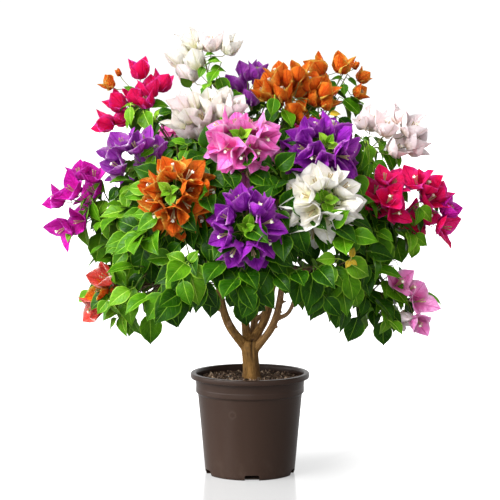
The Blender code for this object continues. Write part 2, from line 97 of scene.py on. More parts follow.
def rounded(corners, steps=4):
    """An outline whose corners, each (across, up, reach), are eased from that far off on both sides."""
    outline = []
    for k, (across, up, reach) in enumerate(corners):
        here = Vector((across, up))
        if not reach:
            outline.append(here)
            continue
        before = here + (Vector(corners[k - 1][:2]) - here).normalized() * reach
        after = here + (Vector(corners[(k + 1) % len(corners)][:2]) - here).normalized() * reach
        for j in range(steps + 1):
            u = j / steps
            outline.append(before * (1 - u) ** 2 + here * 2 * u * (1 - u) + after * u * u)
    return outline


def lathe(outline, sides):
    """A closed outline of (radius, height) turned about Z; its two ends lie on the axis."""
    points, faces, rings = [], [], []
    for radius, height in outline:
        if radius == 0:
            rings.append([len(points)] * sides)
            points.append((0, 0, height))
            continue
        rings.append(list(range(len(points), len(points) + sides)))
        for k in range(sides):
            angle = 2 * math.pi * k / sides
            points.append((radius * math.cos(angle), radius * math.sin(angle), height))
    for lower, upper in zip(rings, rings[1:]):
        for k in range(sides):
            after = (k + 1) % sides
            corners = (lower[k], lower[after], upper[after], upper[k])
            faces.append(tuple(dict.fromkeys(corners)))
    return points, faces


def new_object(name, data):
    made = bpy.data.objects.new(name, data)
    bpy.context.scene.collection.objects.link(made)
    return made


def new_piece(name, points, faces, *materials, edges=()):
    mesh = bpy.data.meshes.new(name)
    mesh.from_pydata(points, edges, faces)
    mesh.update()
    for one in materials:
        mesh.materials.append(one)
    return new_object(name, mesh)


def apply_modifiers(piece):
    """The piece's mesh becomes what its modifiers make of it."""
    graph = bpy.context.evaluated_depsgraph_get()
    piece.data = bpy.data.meshes.new_from_object(piece.evaluated_get(graph), depsgraph=graph)
    piece.modifiers.clear()


def put(tree, kind, values, **settings):
    """A node with its settings. Its inputs, by name or number, take sockets, numbers or colours."""
    node = tree.nodes.new(kind)
    for key, value in settings.items():
        setattr(node, key, value)
    for key, value in values.items():
        if isinstance(value, bpy.types.NodeSocket):
            tree.links.new(value, node.inputs[key])
        elif node.inputs[key].type == "RGBA":
            node.inputs[key].default_value = (*value, 1.0)
        else:
            node.inputs[key].default_value = value
    return node


def calc(tree, operation, *values):
    """The result of a sum on numbers or sockets."""
    return put(tree, "ShaderNodeMath", dict(enumerate(values)), operation=operation).outputs[0]


def fade(tree, value, low, high, start=0.0, end=1.0):
    """A number that goes smoothly from start to end while value goes from low to high."""
    values = {"Value": value, "From Min": low, "From Max": high, "To Min": start, "To Max": end}
    return put(tree, "ShaderNodeMapRange", values, interpolation_type="SMOOTHSTEP").outputs[0]


def tint(tree, share, first, second):
    """A colour that goes from the first to the second as the share goes from 0 to 1."""
    return put(tree, "ShaderNodeMix", {0: share, 6: first, 7: second}, data_type="RGBA").outputs[2]


def spots(tree, place, scale, detail=2.0):
    """Soft cloudy noise from 0 to 1."""
    values = {"Vector": place, "Scale": scale, "Detail": detail}
    return put(tree, "ShaderNodeTexNoise", values).outputs["Fac"]


def split(tree, place):
    """The X, Y and Z of a place."""
    return put(tree, "ShaderNodeSeparateXYZ", {0: place}).outputs


def new_group(name, takes, gives, kind="ShaderNodeTree"):
    """A node group with named inputs and outputs, and the sockets to wire inside it."""
    tree = bpy.data.node_groups.new(name, kind)
    for side, sockets in (("INPUT", takes), ("OUTPUT", gives)):
        for label, sort in sockets.items():
            tree.interface.new_socket(label, in_out=side, socket_type="NodeSocket" + sort)
    return tree, tree.nodes.new("NodeGroupInput").outputs, tree.nodes.new("NodeGroupOutput").inputs


def new_material(name, **uniform):
    """A material, its node tree and its shader, with the values that are the same all over."""
    material = bpy.data.materials.new(name)
    material.use_nodes = True
    shader = material.node_tree.nodes["Principled BSDF"]
    for key, value in uniform.items():
        shader.inputs[key.replace("_", " ")].default_value = value
    return material, material.node_tree, shader


def give(tree, inputs, values):
    """Links each socket to the input of its name."""
    for label, socket in values.items():
        tree.links.new(socket, inputs[label])


def wire(tree, shader, colour, roughness, height, distance, strength=1.0):
    """Feeds a pattern's colour, roughness and relief into a shader."""
    bump = put(tree, "ShaderNodeBump", {"Height": height, "Distance": distance, "Strength": strength})
    give(tree, shader.inputs, {"Base Color": colour, "Roughness": roughness, "Normal": bump.outputs[0]})


def mottled_group():
    """Cloudy patches of a darker and a lighter shade, at a coarse and a fine scale."""
    takes = {"Place": "Vector", "Dark": "Color", "Light": "Color", "Coarse": "Float", "Fine": "Float"}
    tree, given, result = new_group("mottled", takes, {"Colour": "Color", "Height": "Float"})
    coarse = spots(tree, given["Place"], given["Coarse"], 3.0)
    fine = spots(tree, given["Place"], given["Fine"], 2.0)
    both = calc(tree, "MULTIPLY_ADD", fine, 0.45, calc(tree, "MULTIPLY", coarse, 0.55))
    share = fade(tree, both, 0.32, 0.68)
    give(tree, result, {"Colour": tint(tree, share, given["Dark"], given["Light"]), "Height": fine})
    return tree


MOTTLED = mottled_group()


def object_place(tree):
    return tree.nodes.new("ShaderNodeTexCoord").outputs["Object"]


def mottled(tree, place, dark, light, coarse, fine):
    """Places the mottled group in a material, and gives its colour and its height."""
    values = {"Place": place, "Dark": dark, "Light": light, "Coarse": coarse, "Fine": fine}
    node = put(tree, "ShaderNodeGroup", values, node_tree=MOTTLED)
    return node.outputs["Colour"], node.outputs["Height"]


def pot_plastic():
    """Satin brown plastic with a fine moulded grain, a film of dust low on the wall, and the round
    raised ring that the mould's gate left, painted a little lighter there as a painted glint."""
    material, tree, shader = new_material("pot_plastic", Specular_IOR_Level=0.20)
    place = object_place(tree)
    dark, light = (0.0264, 0.0136, 0.0088), (0.0282, 0.0146, 0.0095)
    shade, grain = mottled(tree, place, dark, light, 18.0, 1400.0)
    low = fade(tree, split(tree, place)["Z"], 0.0, 0.05, 1.0, 0.0)
    dust = calc(tree, "MULTIPLY", low, fade(tree, spots(tree, place, 60.0, 4.0), 0.45, 0.75, 0.0, 0.10))
    shade = tint(tree, dust, shade, (0.15, 0.115, 0.09))
    gloss = fade(tree, spots(tree, place, 35.0, 3.0), 0.3, 0.7, 0.295, 0.325)
    off = put(tree, "ShaderNodeVectorMath", {0: place, 1: MARK}, operation="DISTANCE").outputs["Value"]
    inner, outer = fade(tree, off, 0.0028, MARK_RADIUS), fade(tree, off, MARK_RADIUS, 0.0085, 1.0, 0.0)
    gate_ring_and_glint = calc(tree, "MULTIPLY", inner, outer)
    # Painted glint: the gate's ring is painted a little lighter
    shade = tint(tree, calc(tree, "MULTIPLY", gate_ring_and_glint, 0.12), shade, (0.10, 0.070, 0.055))
    wire(tree, shader, shade, gloss, calc(tree, "MULTIPLY_ADD", gate_ring_and_glint, 3.0, grain), 0.00015, 0.5)
    return material


def pot_outline():
    """Foot, tapered body, stepped collar with its bead, rolled lip, then the inside down to the floor."""
    lip_foot = POT_HEIGHT - LIP_DEPTH
    return rounded([
        (0, 0, 0),
        (FOOT_RADIUS - 0.0016, 0, 0.0012),
        (FOOT_RADIUS + 0.0001, 0.0040, 0.0015),
        (BODY_RADIUS, COLLAR_FOOT - 0.0030, 0.0010),
        (COLLAR_FOOT_RADIUS + BEAD_PROUD, COLLAR_FOOT + 0.0002, 0.0008),
        (COLLAR_FOOT_RADIUS + BEAD_PROUD, COLLAR_FOOT + BEAD_HEIGHT - 0.0006, 0.0006),
        (COLLAR_FOOT_RADIUS + 0.0002, COLLAR_FOOT + BEAD_HEIGHT + 0.0006, 0.0006),
        (COLLAR_RADIUS, lip_foot + 0.0004, 0.0005),
        (LIP_RADIUS - 0.0008, lip_foot, 0.0007),
        (LIP_RADIUS, lip_foot + 0.0030, 0.0018),
        (LIP_RADIUS - 0.0004, POT_HEIGHT, 0.0020),
        (COLLAR_RADIUS - WALL + 0.0016, POT_HEIGHT - 0.0002, 0.0008),
        (COLLAR_RADIUS - WALL, POT_HEIGHT - 0.0040, 0.0012),
        (COLLAR_FOOT_RADIUS - WALL, COLLAR_FOOT + 0.0010, 0.0008),
        (BODY_RADIUS - WALL, COLLAR_FOOT - 0.0030, 0.0008),
        (FOOT_RADIUS - WALL, FLOOR, 0.0010),
        (0, FLOOR, 0),
    ])


def notch_cutters():
    """Five blocks with rounded upper corners through the foot's edge, the first one at the front."""
    points, faces = [], []
    inner, outer = FOOT_RADIUS - NOTCH_DEPTH, FOOT_RADIUS + 0.01
    half = NOTCH_WIDTH / 2
    arch = rounded([
        (-half, -0.004, 0),
        (half, -0.004, 0),
        (half, NOTCH_HEIGHT, NOTCH_ROUND),
        (-half, NOTCH_HEIGHT, NOTCH_ROUND),
    ])
    count = len(arch)
    for k in range(NOTCHES):
        angle = NOTCH_TURN + 2 * math.pi * k / NOTCHES
        out = Vector((math.cos(angle), math.sin(angle), 0))
        side = Vector((-out.y, out.x, 0))
        first = len(points)
        for reach in (inner, outer):
            points += [out * reach + side * across + Vector((0, 0, up)) for across, up in arch]
        faces.append(tuple(reversed(range(first, first + count))))
        faces.append(tuple(range(first + count, first + 2 * count)))
        for j in range(count):
            after = (j + 1) % count
            faces.append((first + j, first + after, first + count + after, first + count + j))
    return new_piece("notch_cutters", points, faces)


pot = new_piece("nursery_pot", *lathe(pot_outline(), POT_SIDES), pot_plastic())
cutters = notch_cutters()
cut = pot.modifiers.new("notches", "BOOLEAN")
cut.operation = "DIFFERENCE"
cut.object = cutters
apply_modifiers(pot)
bpy.data.objects.remove(cutters)
pot.data.shade_smooth()
pot.data.set_sharp_from_angle(angle=math.radians(40))
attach(pot, "root")
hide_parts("pot")


# Potting mix: composted bark, fibre and some white perlite, pressed in round the root ball by hand
# up to a finger below the lip. Its top is crumbly, with chips of bark and grains of perlite lying
# loose on it, and it rises a little where it meets the trunk.
SOIL_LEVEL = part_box("soil")[1].z
SOIL_GAP = 0.0007
SOIL_RINGS = 56
SOIL_SIDES = 200
SOIL_SHADES = ((0.010, 0.0065, 0.0045), (0.045, 0.028, 0.018))
LUMP = 0.0017
LUMPS_PER_METRE = 150
MOUND = 0.0022
TRUNK_SPREAD = 0.0185
GROUND_RINGS = 21
GROUND_STEP = 0.003
GROUND_SIDES = 72


def cloudy(name, shades, scales, gloss, relief, specular):
    """A material in two shades, with the scales of its patches, its least and greatest roughness,
    and how deep its grain is."""
    material, tree, shader = new_material(name, Specular_IOR_Level=specular)
    shade, grain = mottled(tree, object_place(tree), *shades, *scales)
    wire(tree, shader, shade, fade(tree, grain, 0.3, 0.7, *gloss), grain, relief)
    return material


def crumbly(x, y):
    """How high the top of the mix stands at a place."""
    lumps = noise.fractal(Vector((x * LUMPS_PER_METRE, y * LUMPS_PER_METRE, 0.3)), 0.9, 2.1, 4)
    rise = MOUND * math.exp(-((math.hypot(x, y) / TRUNK_SPREAD) ** 4))
    return LUMP * lumps + rise


def soil_outline():
    """Up the inside of the pot, clear of the notches, then over the top to the middle."""
    wall_foot, wall_top = FOOT_RADIUS - WALL - SOIL_GAP, BODY_RADIUS - WALL - SOIL_GAP
    collar = COLLAR_FOOT_RADIUS - WALL - SOIL_GAP
    edge = collar + 0.0008
    washed_out = wall_foot - NOTCH_DEPTH - 0.004
    outline = [(0, FLOOR + 0.0003), (washed_out, FLOOR + 0.0003), (washed_out, NOTCH_HEIGHT)]
    outline += [(wall_foot + 0.0006, NOTCH_HEIGHT + 0.003), (wall_top, COLLAR_FOOT - 0.0030)]
    outline += [(collar, COLLAR_FOOT + 0.0010), (edge, SOIL_LEVEL - 0.0015)]
    outline += [(edge * k / SOIL_RINGS, SOIL_LEVEL) for k in range(SOIL_RINGS, 0, -1)]
    return outline + [(0, SOIL_LEVEL)]


soil_points, soil_faces = lathe(soil_outline(), SOIL_SIDES)
soil_points = [
    (x, y, z + crumbly(x, y) - 0.0004) if z > SOIL_LEVEL - 0.001 else (x, y, z) for x, y, z in soil_points
]
earth = cloudy("soil_earth", SOIL_SHADES, (160.0, 900.0), (0.80, 0.98), 0.0006, 0.25)
soil = new_piece("potting_mix", soil_points, soil_faces, earth)
soil.data.shade_smooth()
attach(soil, "root")
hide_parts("soil")


def finish_tree(tree, shape, given, result):
    """The shape as one real mesh, in the material that the tree is given."""
    real = put(tree, "GeometryNodeRealizeInstances", {"Geometry": shape}).outputs[0]
    coloured = put(tree, "GeometryNodeSetMaterial", {"Geometry": real, "Material": given["Material"]})
    tree.links.new(coloured.outputs[0], result[0])


def scatter_tree():
    """Geometry nodes that strew chips of a size and a flatness over a surface."""
    numbers = dict.fromkeys(("Spacing", "Density", "Smallest", "Largest", "Flatness"), "Float")
    takes = {"Surface": "Geometry", **numbers, "Seed": "Int", "Material": "Material"}
    tree, given, result = new_group("strewn_chips", takes, {"Chips": "Geometry"}, "GeometryNodeTree")
    spread = {"Mesh": given["Surface"], "Distance Min": given["Spacing"]}
    spread |= {"Density Max": given["Density"], "Seed": given["Seed"]}
    dots = put(tree, "GeometryNodeDistributePointsOnFaces", spread, distribute_method="POISSON")
    ball = put(tree, "GeometryNodeMeshIcoSphere", {"Radius": 0.5, "Subdivisions": 2}).outputs["Mesh"]
    rough = put(tree, "ShaderNodeTexNoise", {"Scale": 2.3, "Detail": 1.0}).outputs["Color"]
    lifted = put(tree, "ShaderNodeVectorMath", {0: rough, 1: (0.5, 0.5, 0.5)}, operation="SUBTRACT")
    knobbly = put(tree, "ShaderNodeVectorMath", {0: lifted.outputs[0], "Scale": 0.9}, operation="SCALE")
    chip = put(tree, "GeometryNodeSetPosition", {"Geometry": ball, "Offset": knobbly.outputs[0]})
    turn = {0: (0.0, 0.0, 0.0), 1: (6.28, 6.28, 6.28), "Seed": given["Seed"]}
    turns = put(tree, "FunctionNodeRandomValue", turn, data_type="FLOAT_VECTOR").outputs[0]
    size = {2: given["Smallest"], 3: given["Largest"], "Seed": given["Seed"]}
    sizes = put(tree, "FunctionNodeRandomValue", size, data_type="FLOAT").outputs[1]
    thin = put(tree, "ShaderNodeCombineXYZ", {0: 1.0, 1: 0.7, 2: given["Flatness"]}).outputs[0]
    scaled = put(tree, "ShaderNodeVectorMath", {0: thin, "Scale": sizes}, operation="SCALE").outputs[0]
    placed = {"Points": dots.outputs["Points"], "Instance": chip.outputs[0]}
    placed |= {"Rotation": turns, "Scale": scaled}
    finish_tree(tree, put(tree, "GeometryNodeInstanceOnPoints", placed).outputs[0], given, result)
    return tree


def run_nodes(piece, tree, **values):
    """Runs a geometry node tree on a piece with its inputs set, and keeps the result as its mesh."""
    modifier = piece.modifiers.new(tree.name, "NODES")
    modifier.node_group = tree
    for item in tree.interface.items_tree:
        if item.in_out == "INPUT" and item.name in values:
            modifier[item.identifier] = values[item.name]
    apply_modifiers(piece)


def open_ground():
    """The top of the mix between the trunk and the wall, a little sunk, where chips may lie."""
    rings = [(TRUNK_SPREAD + 0.001 + k * GROUND_STEP, SOIL_LEVEL) for k in range(GROUND_RINGS)]
    points, faces = lathe(rings, GROUND_SIDES)
    return [(x, y, z + crumbly(x, y)) for x, y, z in points], [(a, d, c, b) for a, b, c, d in faces]


# Each kind of chip: its seed, how far apart and how densely it lies, its least and greatest size,
# its flatness and its two shades
Chip = namedtuple("Chip", "seed spacing density smallest largest flatness dark light")
CHIPS = {
    "chips_brown": Chip(3, 0.0034, 26000.0, 0.0040, 0.0105, 0.42, (0.02, 0.012, 0.008), (0.14, 0.085, 0.052)),
    "chips_tan": Chip(11, 0.0058, 12000.0, 0.0035, 0.0090, 0.45, (0.18, 0.11, 0.068), (0.48, 0.35, 0.24)),
    "perlite": Chip(27, 0.0100, 3000.0, 0.0018, 0.0034, 0.80, (0.42, 0.38, 0.33), (0.72, 0.69, 0.64)),
}
strew = scatter_tree()
for name, chip in CHIPS.items():
    chips = new_piece(name, *open_ground())
    stuff = cloudy(name, (chip.dark, chip.light), (220.0, 1500.0), (0.70, 0.92), 0.0003, 0.3)
    sizes = {label.capitalize(): value for label, value in chip._asdict().items()}
    run_nodes(chips, strew, Material=stuff, **sizes)
    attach(chips, "root")


# Trunk and boughs: the stock's own wood, with a tan, fibrous bark that is furrowed along the grain.
# The trunk forks low into five boughs, which carry the grafts. Smaller boughs leave those, thinner
# and greyer, with knobs and cut stubs where twigs were pruned off.
TRUNK_FORK = 0.206
TRUNK_RADIUS = 0.0137
TRUNK_FLARE = 0.0160
TRUNK_SUNK = 0.0035
BOUGH_TIP = 0.0040
SMALL_BOUGH_TIP = 0.0027
SIDE_BOUGH = 0.62
STUB_SWELL = 1.2
STUB_CLEAR = 0.0015
KNOB_LEAN = 0.35
KNOB_SWELL = 1.3
LEAVING = math.radians(52)
HEART = Vector((0.0, 0.0, 0.36))
ENTRY = 0.100
FORK_REACH = 0.032
FORK_INSIDE = 0.006
WOOD_VOXEL = 0.00116
BARK_STRETCH = 0.14
BARK_SWELL = 0.0009
SWELLS_PER_METRE = 75
BARK_RIDGE = 0.00075
RIDGES_PER_METRE = 170
FINE_RIDGES_PER_METRE = 420
GROOVE_DEPTH = 0.0018
GROOVE_FOOT = 0.17
GROOVE_ASIDE = 0.0035
GROOVE_WIDTH = 0.0022

# A bough at the fork: its root inside the trunk, the way it leaves, and its radius there
Start = namedtuple("Start", "root way radius")
FORK = {
    "left": Start((-0.004, 0.000, 0.199), (-0.62, -0.14, 0.77), 0.0077),
    "centre": Start((-0.004, 0.005, 0.208), (-0.10, 0.34, 0.94), 0.0070),
    "right_middle": Start((0.002, 0.004, 0.206), (0.50, 0.12, 0.86), 0.0074),
    "right": Start((0.006, -0.003, 0.197), (0.61, -0.22, 0.76), 0.0066),
    "back": Start((0.002, 0.006, 0.203), (0.10, 0.82, 0.57), 0.0066),
}

# A mass, as seen from the heart: bearing from +X and rise above level, in degrees,
# then the bough that feeds it and how far along that bough its own one leaves
Mass = namedtuple("Mass", "bearing rise parent share")
MASSES = {
    "left": Mass(180, 15, "fork", "left"),
    "top_left": Mass(190, 75, "fork", "centre"),
    "top_right": Mass(17, 60, "fork", "right_middle"),
    "right": Mass(-4, 14, "fork", "right"),
    "back": Mass(90, 8, "fork", "back"),
    "left_low": Mass(193, -19, "left", 0.22),
    "front_left_low": Mass(237, -15, "left", 0.42),
    "front_left": Mass(236, 25, "left", 0.60),
    "upper_left_front": Mass(206, 38, "left", 0.80),
    "front": Mass(269, 10, "top_left", 0.16),
    "upper_left": Mass(165, 51, "top_left", 0.44),
    "front_top": Mass(266, 50, "top_left", 0.66),
    "front_right_upper": Mass(-47, 45, "top_right", 0.34),
    "top": Mass(45, 78, "top_right", 0.62),
    "upper_right": Mass(0, 39, "right", 0.74),
    "front_right": Mass(-59, 21, "right", 0.52),
    "front_right_low": Mass(-50, -15, "right", 0.34),
    "right_low": Mass(-8, -19, "right", 0.16),
    "back_left": Mass(142, 14, "back", 0.72),
    "back_right": Mass(38, 14, "back", 0.56),
    "back_upper_left": Mass(122, 44, "back", 0.88),
    "back_upper_right": Mass(56, 44, "back", 0.40),
    "back_left_low": Mass(130, -19, "back", 0.26),
    "back_right_low": Mass(50, -19, "back", 0.12),
}

# A knob or a cut stub: the mass whose bough it stands on, how far along, the way it points,
# how far it stands out of the bark, and its radius
Knob = namedtuple("Knob", "bough share way proud radius")
KNOBS = (
    Knob("right", 0.10, (1.0, -0.5, -0.2), 0.0035, 0.0024),
    Knob("right", 0.22, (0.9, -0.6, 0.3), 0.0030, 0.0022),
    Knob("right", 0.30, (0.8, 0.1, 0.9), 0.0060, 0.0017),
    Knob("right_low", 0.24, (0.4, -0.3, -0.9), 0.0050, 0.0017),
    Knob("right_low", 0.55, (0.2, -0.5, 0.8), 0.0040, 0.0014),
    Knob("left", 0.09, (0.2, -1.0, 0.3), 0.0012, 0.0046),
    Knob("left", 0.30, (-0.2, -0.6, 0.9), 0.0050, 0.0018),
    Knob("top_left", 0.12, (0.5, -0.9, 0.2), 0.0030, 0.0022),
    Knob("top_right", 0.16, (-0.6, -0.7, 0.4), 0.0032, 0.0020),
    Knob("top_right", 0.30, (0.7, -0.7, 0.3), 0.0050, 0.0018),
    Knob("back", 0.20, (0.6, 0.8, 0.3), 0.0045, 0.0018),
    Knob("back", 0.45, (-0.8, 0.4, 0.5), 0.0040, 0.0016),
)


def turned_frame(way):
    """Two directions square to a way, the same ones each time."""
    way = way.normalized()
    side = way.cross(Vector((0.31, -0.22, 0.92)) if abs(way.z) < 0.85 else Vector((1, 0.2, 0)))
    side.normalize()
    return side, way.cross(side)


def between(first, second, angle):
    """The direction at an angle from the first towards the second, which is square to it."""
    return first * math.cos(angle) + second * math.sin(angle)


def off_at(way, angle):
    """The direction square to a way, at an angle round it."""
    return between(*turned_frame(way), angle)


def bezier_at(corners, t):
    """A point of a cubic curve, and the way that the curve runs there."""
    a, b, c, d = corners
    u = 1 - t
    point = a * u**3 + b * 3 * u * u * t + c * 3 * u * t * t + d * t**3
    way = (b - a) * u * u + (c - b) * 2 * u * t + (d - c) * t * t
    return point, way.normalized()


class Path:
    """A smooth line as a few points, with the way that it runs at each."""

    def __init__(self, points, ways):
        self.points, self.ways = points, ways

    @classmethod
    def swept(cls, start, way_out, end, way_in, steps):
        """Leaves start along way_out and comes to end along way_in."""
        pull = (end - start).length * 0.36
        leave, arrive = start + way_out.normalized() * pull, end - way_in.normalized() * pull
        made = [bezier_at((start, leave, arrive, end), k / steps) for k in range(steps + 1)]
        return cls([point for point, _ in made], [way for _, way in made])

    @classmethod
    def straight(cls, start, end, steps=1):
        way = (end - start).normalized()
        return cls([start.lerp(end, k / steps) for k in range(steps + 1)], [way] * (steps + 1))

    def at(self, share):
        """The place at a share of the path, and the way that it runs there."""
        along = min(max(share, 0.0), 1.0) * (len(self.points) - 1)
        k = min(int(along), len(self.points) - 2)
        point = self.points[k].lerp(self.points[k + 1], along - k)
        return point, self.ways[k].lerp(self.ways[k + 1], along - k).normalized()

    def length(self):
        return sum((b - a).length for a, b in zip(self.points, self.points[1:]))


def tube(path, radii, sides):
    """A closed tube with a radius for each point of its path. It never twists."""
    side, _ = turned_frame(path.ways[0])
    points, faces = [], []
    for k, (centre, way, radius) in enumerate(zip(path.points, path.ways, radii)):
        side = (side - way * side.dot(way)).normalized()
        across = way.cross(side)
        for j in range(sides):
            points.append(centre + between(side, across, 2 * math.pi * j / sides) * radius)
        if k:
            low, high = (k - 1) * sides, k * sides
            for j in range(sides):
                after = (j + 1) % sides
                faces.append((low + j, low + after, high + after, high + j))
    end = (len(path.points) - 1) * sides
    faces.append(tuple(reversed(range(sides))))
    faces.append(tuple(range(end, end + sides)))
    return points, faces


def tapered(path, first, last):
    return np.linspace(first, last, len(path.points))


def direction_of(name):
    """The way from the heart to the middle of a mass."""
    bearing, rise = math.radians(MASSES[name].bearing), math.radians(MASSES[name].rise)
    level = math.cos(rise)
    return Vector((level * math.cos(bearing), level * math.sin(bearing), math.sin(rise)))


def leaving(run, towards):
    """The way that a side bough leaves its parent: at a fixed angle, on the side that it grows to."""
    return between(run, (towards - run * towards.dot(run)).normalized(), LEAVING)


Limb = namedtuple("Limb", "path first last")


def radius_at(limb, share):
    return limb.first + (limb.last - limb.first) * share


def plan_limbs():
    """Every bough, and the short stubs inside the wood that boughs start from."""
    limbs, stubs = {}, []
    for name, mass in MASSES.items():
        way_in = direction_of(name)
        end = HEART + way_in * ENTRY
        if mass.parent == "fork":
            root, way, radius = FORK[mass.share]
            root, way = Vector(root), Vector(way).normalized()
            start = root + way * FORK_REACH
            deep = root - way * FORK_INSIDE
            stubs.append(Limb(Path.straight(deep, start, 8), radius * STUB_SWELL, radius))
            limbs[name] = Limb(Path.swept(start, way, end, way_in, 36), radius, BOUGH_TIP)
            continue
        parent = limbs[mass.parent]
        root, run = parent.path.at(mass.share)
        thick = radius_at(parent, mass.share)
        radius = thick * SIDE_BOUGH
        way = leaving(run, end - root)
        start = root + way * ((thick + radius + STUB_CLEAR) / math.sin(LEAVING))
        stubs.append(Limb(Path.straight(root, start, 4), radius * STUB_SWELL, radius))
        limbs[name] = Limb(Path.swept(start, way, end, way_in, 28), radius, SMALL_BOUGH_TIP)
    return limbs, stubs


def trunk_path():
    """The column from just under the mix to the fork, with its flare, its lean and its radii."""
    heights = np.linspace(SOIL_LEVEL - TRUNK_SUNK, TRUNK_FORK + 0.007, 16)
    marks, wide, lean = zip(
        (SOIL_LEVEL - TRUNK_SUNK, TRUNK_FLARE * 1.10, 0.0034),
        (SOIL_LEVEL + 0.003, TRUNK_FLARE * 0.97, 0.0032),
        (SOIL_LEVEL + 0.016, TRUNK_RADIUS, 0.0022),
        (TRUNK_FORK - 0.018, TRUNK_RADIUS, 0.0009),
        (TRUNK_FORK - 0.005, TRUNK_RADIUS * 1.08, 0.0),
        (TRUNK_FORK + 0.007, TRUNK_RADIUS * 0.90, 0.001),
    )
    points = [Vector((np.interp(z, marks, lean), 0, z)) for z in heights]
    return Path(points, [Vector((0, 0, 1))] * len(points)), np.interp(heights, marks, wide)


def stand_out(knob, limbs):
    """A knob's own short path, from inside the bough to its cut end."""
    limb = limbs[knob.bough]
    root, run = limb.path.at(knob.share)
    way = Vector(knob.way)
    way = (way - run * way.dot(run)).normalized() + run * KNOB_LEAN
    end = root + way.normalized() * (radius_at(limb, knob.share) + knob.proud)
    return Limb(Path.straight(root, end, 3), knob.radius * KNOB_SWELL, knob.radius)


def wood_skin(shapes):
    """One closed skin round many overlapping tubes, smoothed where they meet."""
    points, faces = [], []
    for shape_points, shape_faces in shapes:
        faces += [tuple(len(points) + j for j in face) for face in shape_faces]
        points += shape_points
    skin = new_piece("trunk_and_boughs", points, faces)
    join = skin.modifiers.new("join", "REMESH")
    join.mode = "VOXEL"
    join.voxel_size = WOOD_VOXEL
    ease = skin.modifiers.new("ease", "SMOOTH")
    ease.factor = 0.5
    ease.iterations = 6
    apply_modifiers(skin)
    return skin


def ridged(place, scale):
    """Sharp crests between rounded furrows, from 0 in a furrow to 1 on a crest."""
    return 1.0 - min(1.0, abs(noise.noise(place * scale)) * 2.6)


def note(mesh, name, values):
    """Stores a number for each point of a mesh."""
    mesh.attributes.new(name, "FLOAT", "POINT").data.foreach_set("value", values)


def furrow(skin, lines):
    """Raises the bark's relief along the grain, with a groove up the front between the two sides of
    the fork, and notes age for the bark's colours, and the hollows for its painted shade."""
    places, frames = [], []
    for path, radii in lines:
        side, _ = turned_frame(path.ways[0])
        along = 0.0
        for k, (point, way, radius) in enumerate(zip(path.points, path.ways, radii)):
            side = (side - way * side.dot(way)).normalized()
            along += (point - path.points[k - 1]).length if k else 0.0
            places.append(point)
            frames.append((side, way.cross(side), way, along, radius))
    tree = KDTree(len(places))
    for k, point in enumerate(places):
        tree.insert(point, k)
    tree.balance()
    mesh = skin.data
    count = len(mesh.vertices)
    grain, age, hollow, moved = np.zeros((count, 3)), np.zeros(count), np.zeros(count), np.zeros((count, 3))
    for k, vertex in enumerate(mesh.vertices):
        best = min(tree.find_n(vertex.co, 10), key=lambda found: found[2] - frames[found[1]][4])
        side, across, way, along, radius = frames[best[1]]
        off = vertex.co - best[0]
        local = Vector((off.dot(side), off.dot(across), (along + off.dot(way)) * BARK_STRETCH))
        crest = ridged(local, RIDGES_PER_METRE) * 0.6
        crest += ridged(local + Vector((3, 1, 2)), FINE_RIDGES_PER_METRE) * 0.4
        swell = noise.noise(local * SWELLS_PER_METRE)
        scale = min(1.0, radius / TRUNK_RADIUS)
        groove = 0.0
        if vertex.co.y < 0 and vertex.co.z > GROOVE_FOOT:
            near = math.exp(-(((vertex.co.x - GROOVE_ASIDE) / GROOVE_WIDTH) ** 2))
            groove = near * min(1.0, (vertex.co.z - GROOVE_FOOT) / 0.03) * (vertex.co.z < TRUNK_FORK + 0.01)
        push = (BARK_SWELL * swell - BARK_RIDGE * crest) * (0.35 + 0.65 * scale) - GROOVE_DEPTH * groove
        moved[k] = vertex.co + vertex.normal * push
        grain[k], age[k] = local, scale
        # How deep a place lies in a furrow or the groove, which the bark darkens as painted shade
        hollow[k] = min(1.0, crest * 0.8 + groove * 0.8)
    mesh.vertices.foreach_set("co", moved.ravel())
    mesh.attributes.new("grain", "FLOAT_VECTOR", "POINT").data.foreach_set("vector", grain.ravel())
    note(mesh, "age", age)
    note(mesh, "hollow", hollow)
    mesh.update()


def read(tree, name, output="Fac"):
    """A value stored on the mesh."""
    return put(tree, "ShaderNodeAttribute", {}, attribute_name=name).outputs[output]


def bark():
    """Tan fibres on old wood, with painted shade on the old wood's right side and down in the furrows
    and the groove, and greyer on thin boughs."""
    material, tree, shader = new_material("bark", Specular_IOR_Level=0.12)
    grain = read(tree, "grain", "Vector")
    old, fibres = mottled(tree, grain, (0.110, 0.050, 0.011), (0.370, 0.198, 0.058), 130.0, 900.0)
    thin, _ = mottled(tree, grain, (0.170, 0.088, 0.040), (0.460, 0.275, 0.140), 130.0, 900.0)
    age = read(tree, "age")
    shade = tint(tree, fade(tree, age, 0.28, 0.62), thin, old)
    flakes = fade(tree, spots(tree, object_place(tree), 95.0, 3.0), 0.55, 0.75, 0.0, 0.45)
    shade = tint(tree, flakes, shade, (0.130, 0.075, 0.040))
    # Painted shade: old wood is darkened on its right, the side away from the light
    side = fade(tree, split(tree, object_place(tree))["X"], 0.001, 0.013, 0.0, 0.60)
    painted_shade_on_right = calc(tree, "MULTIPLY", side, fade(tree, age, 0.6, 0.9))
    shade = tint(tree, painted_shade_on_right, shade, (0.075, 0.040, 0.020))
    # Painted shade down in the furrows and the groove
    dark = fade(tree, read(tree, "hollow"), 0.35, 1.0, 0.0, 0.80)
    shade = tint(tree, dark, shade, (0.055, 0.029, 0.014))
    wire(tree, shader, shade, fade(tree, fibres, 0.3, 0.7, 0.62, 0.85), fibres, 0.0006)
    return material


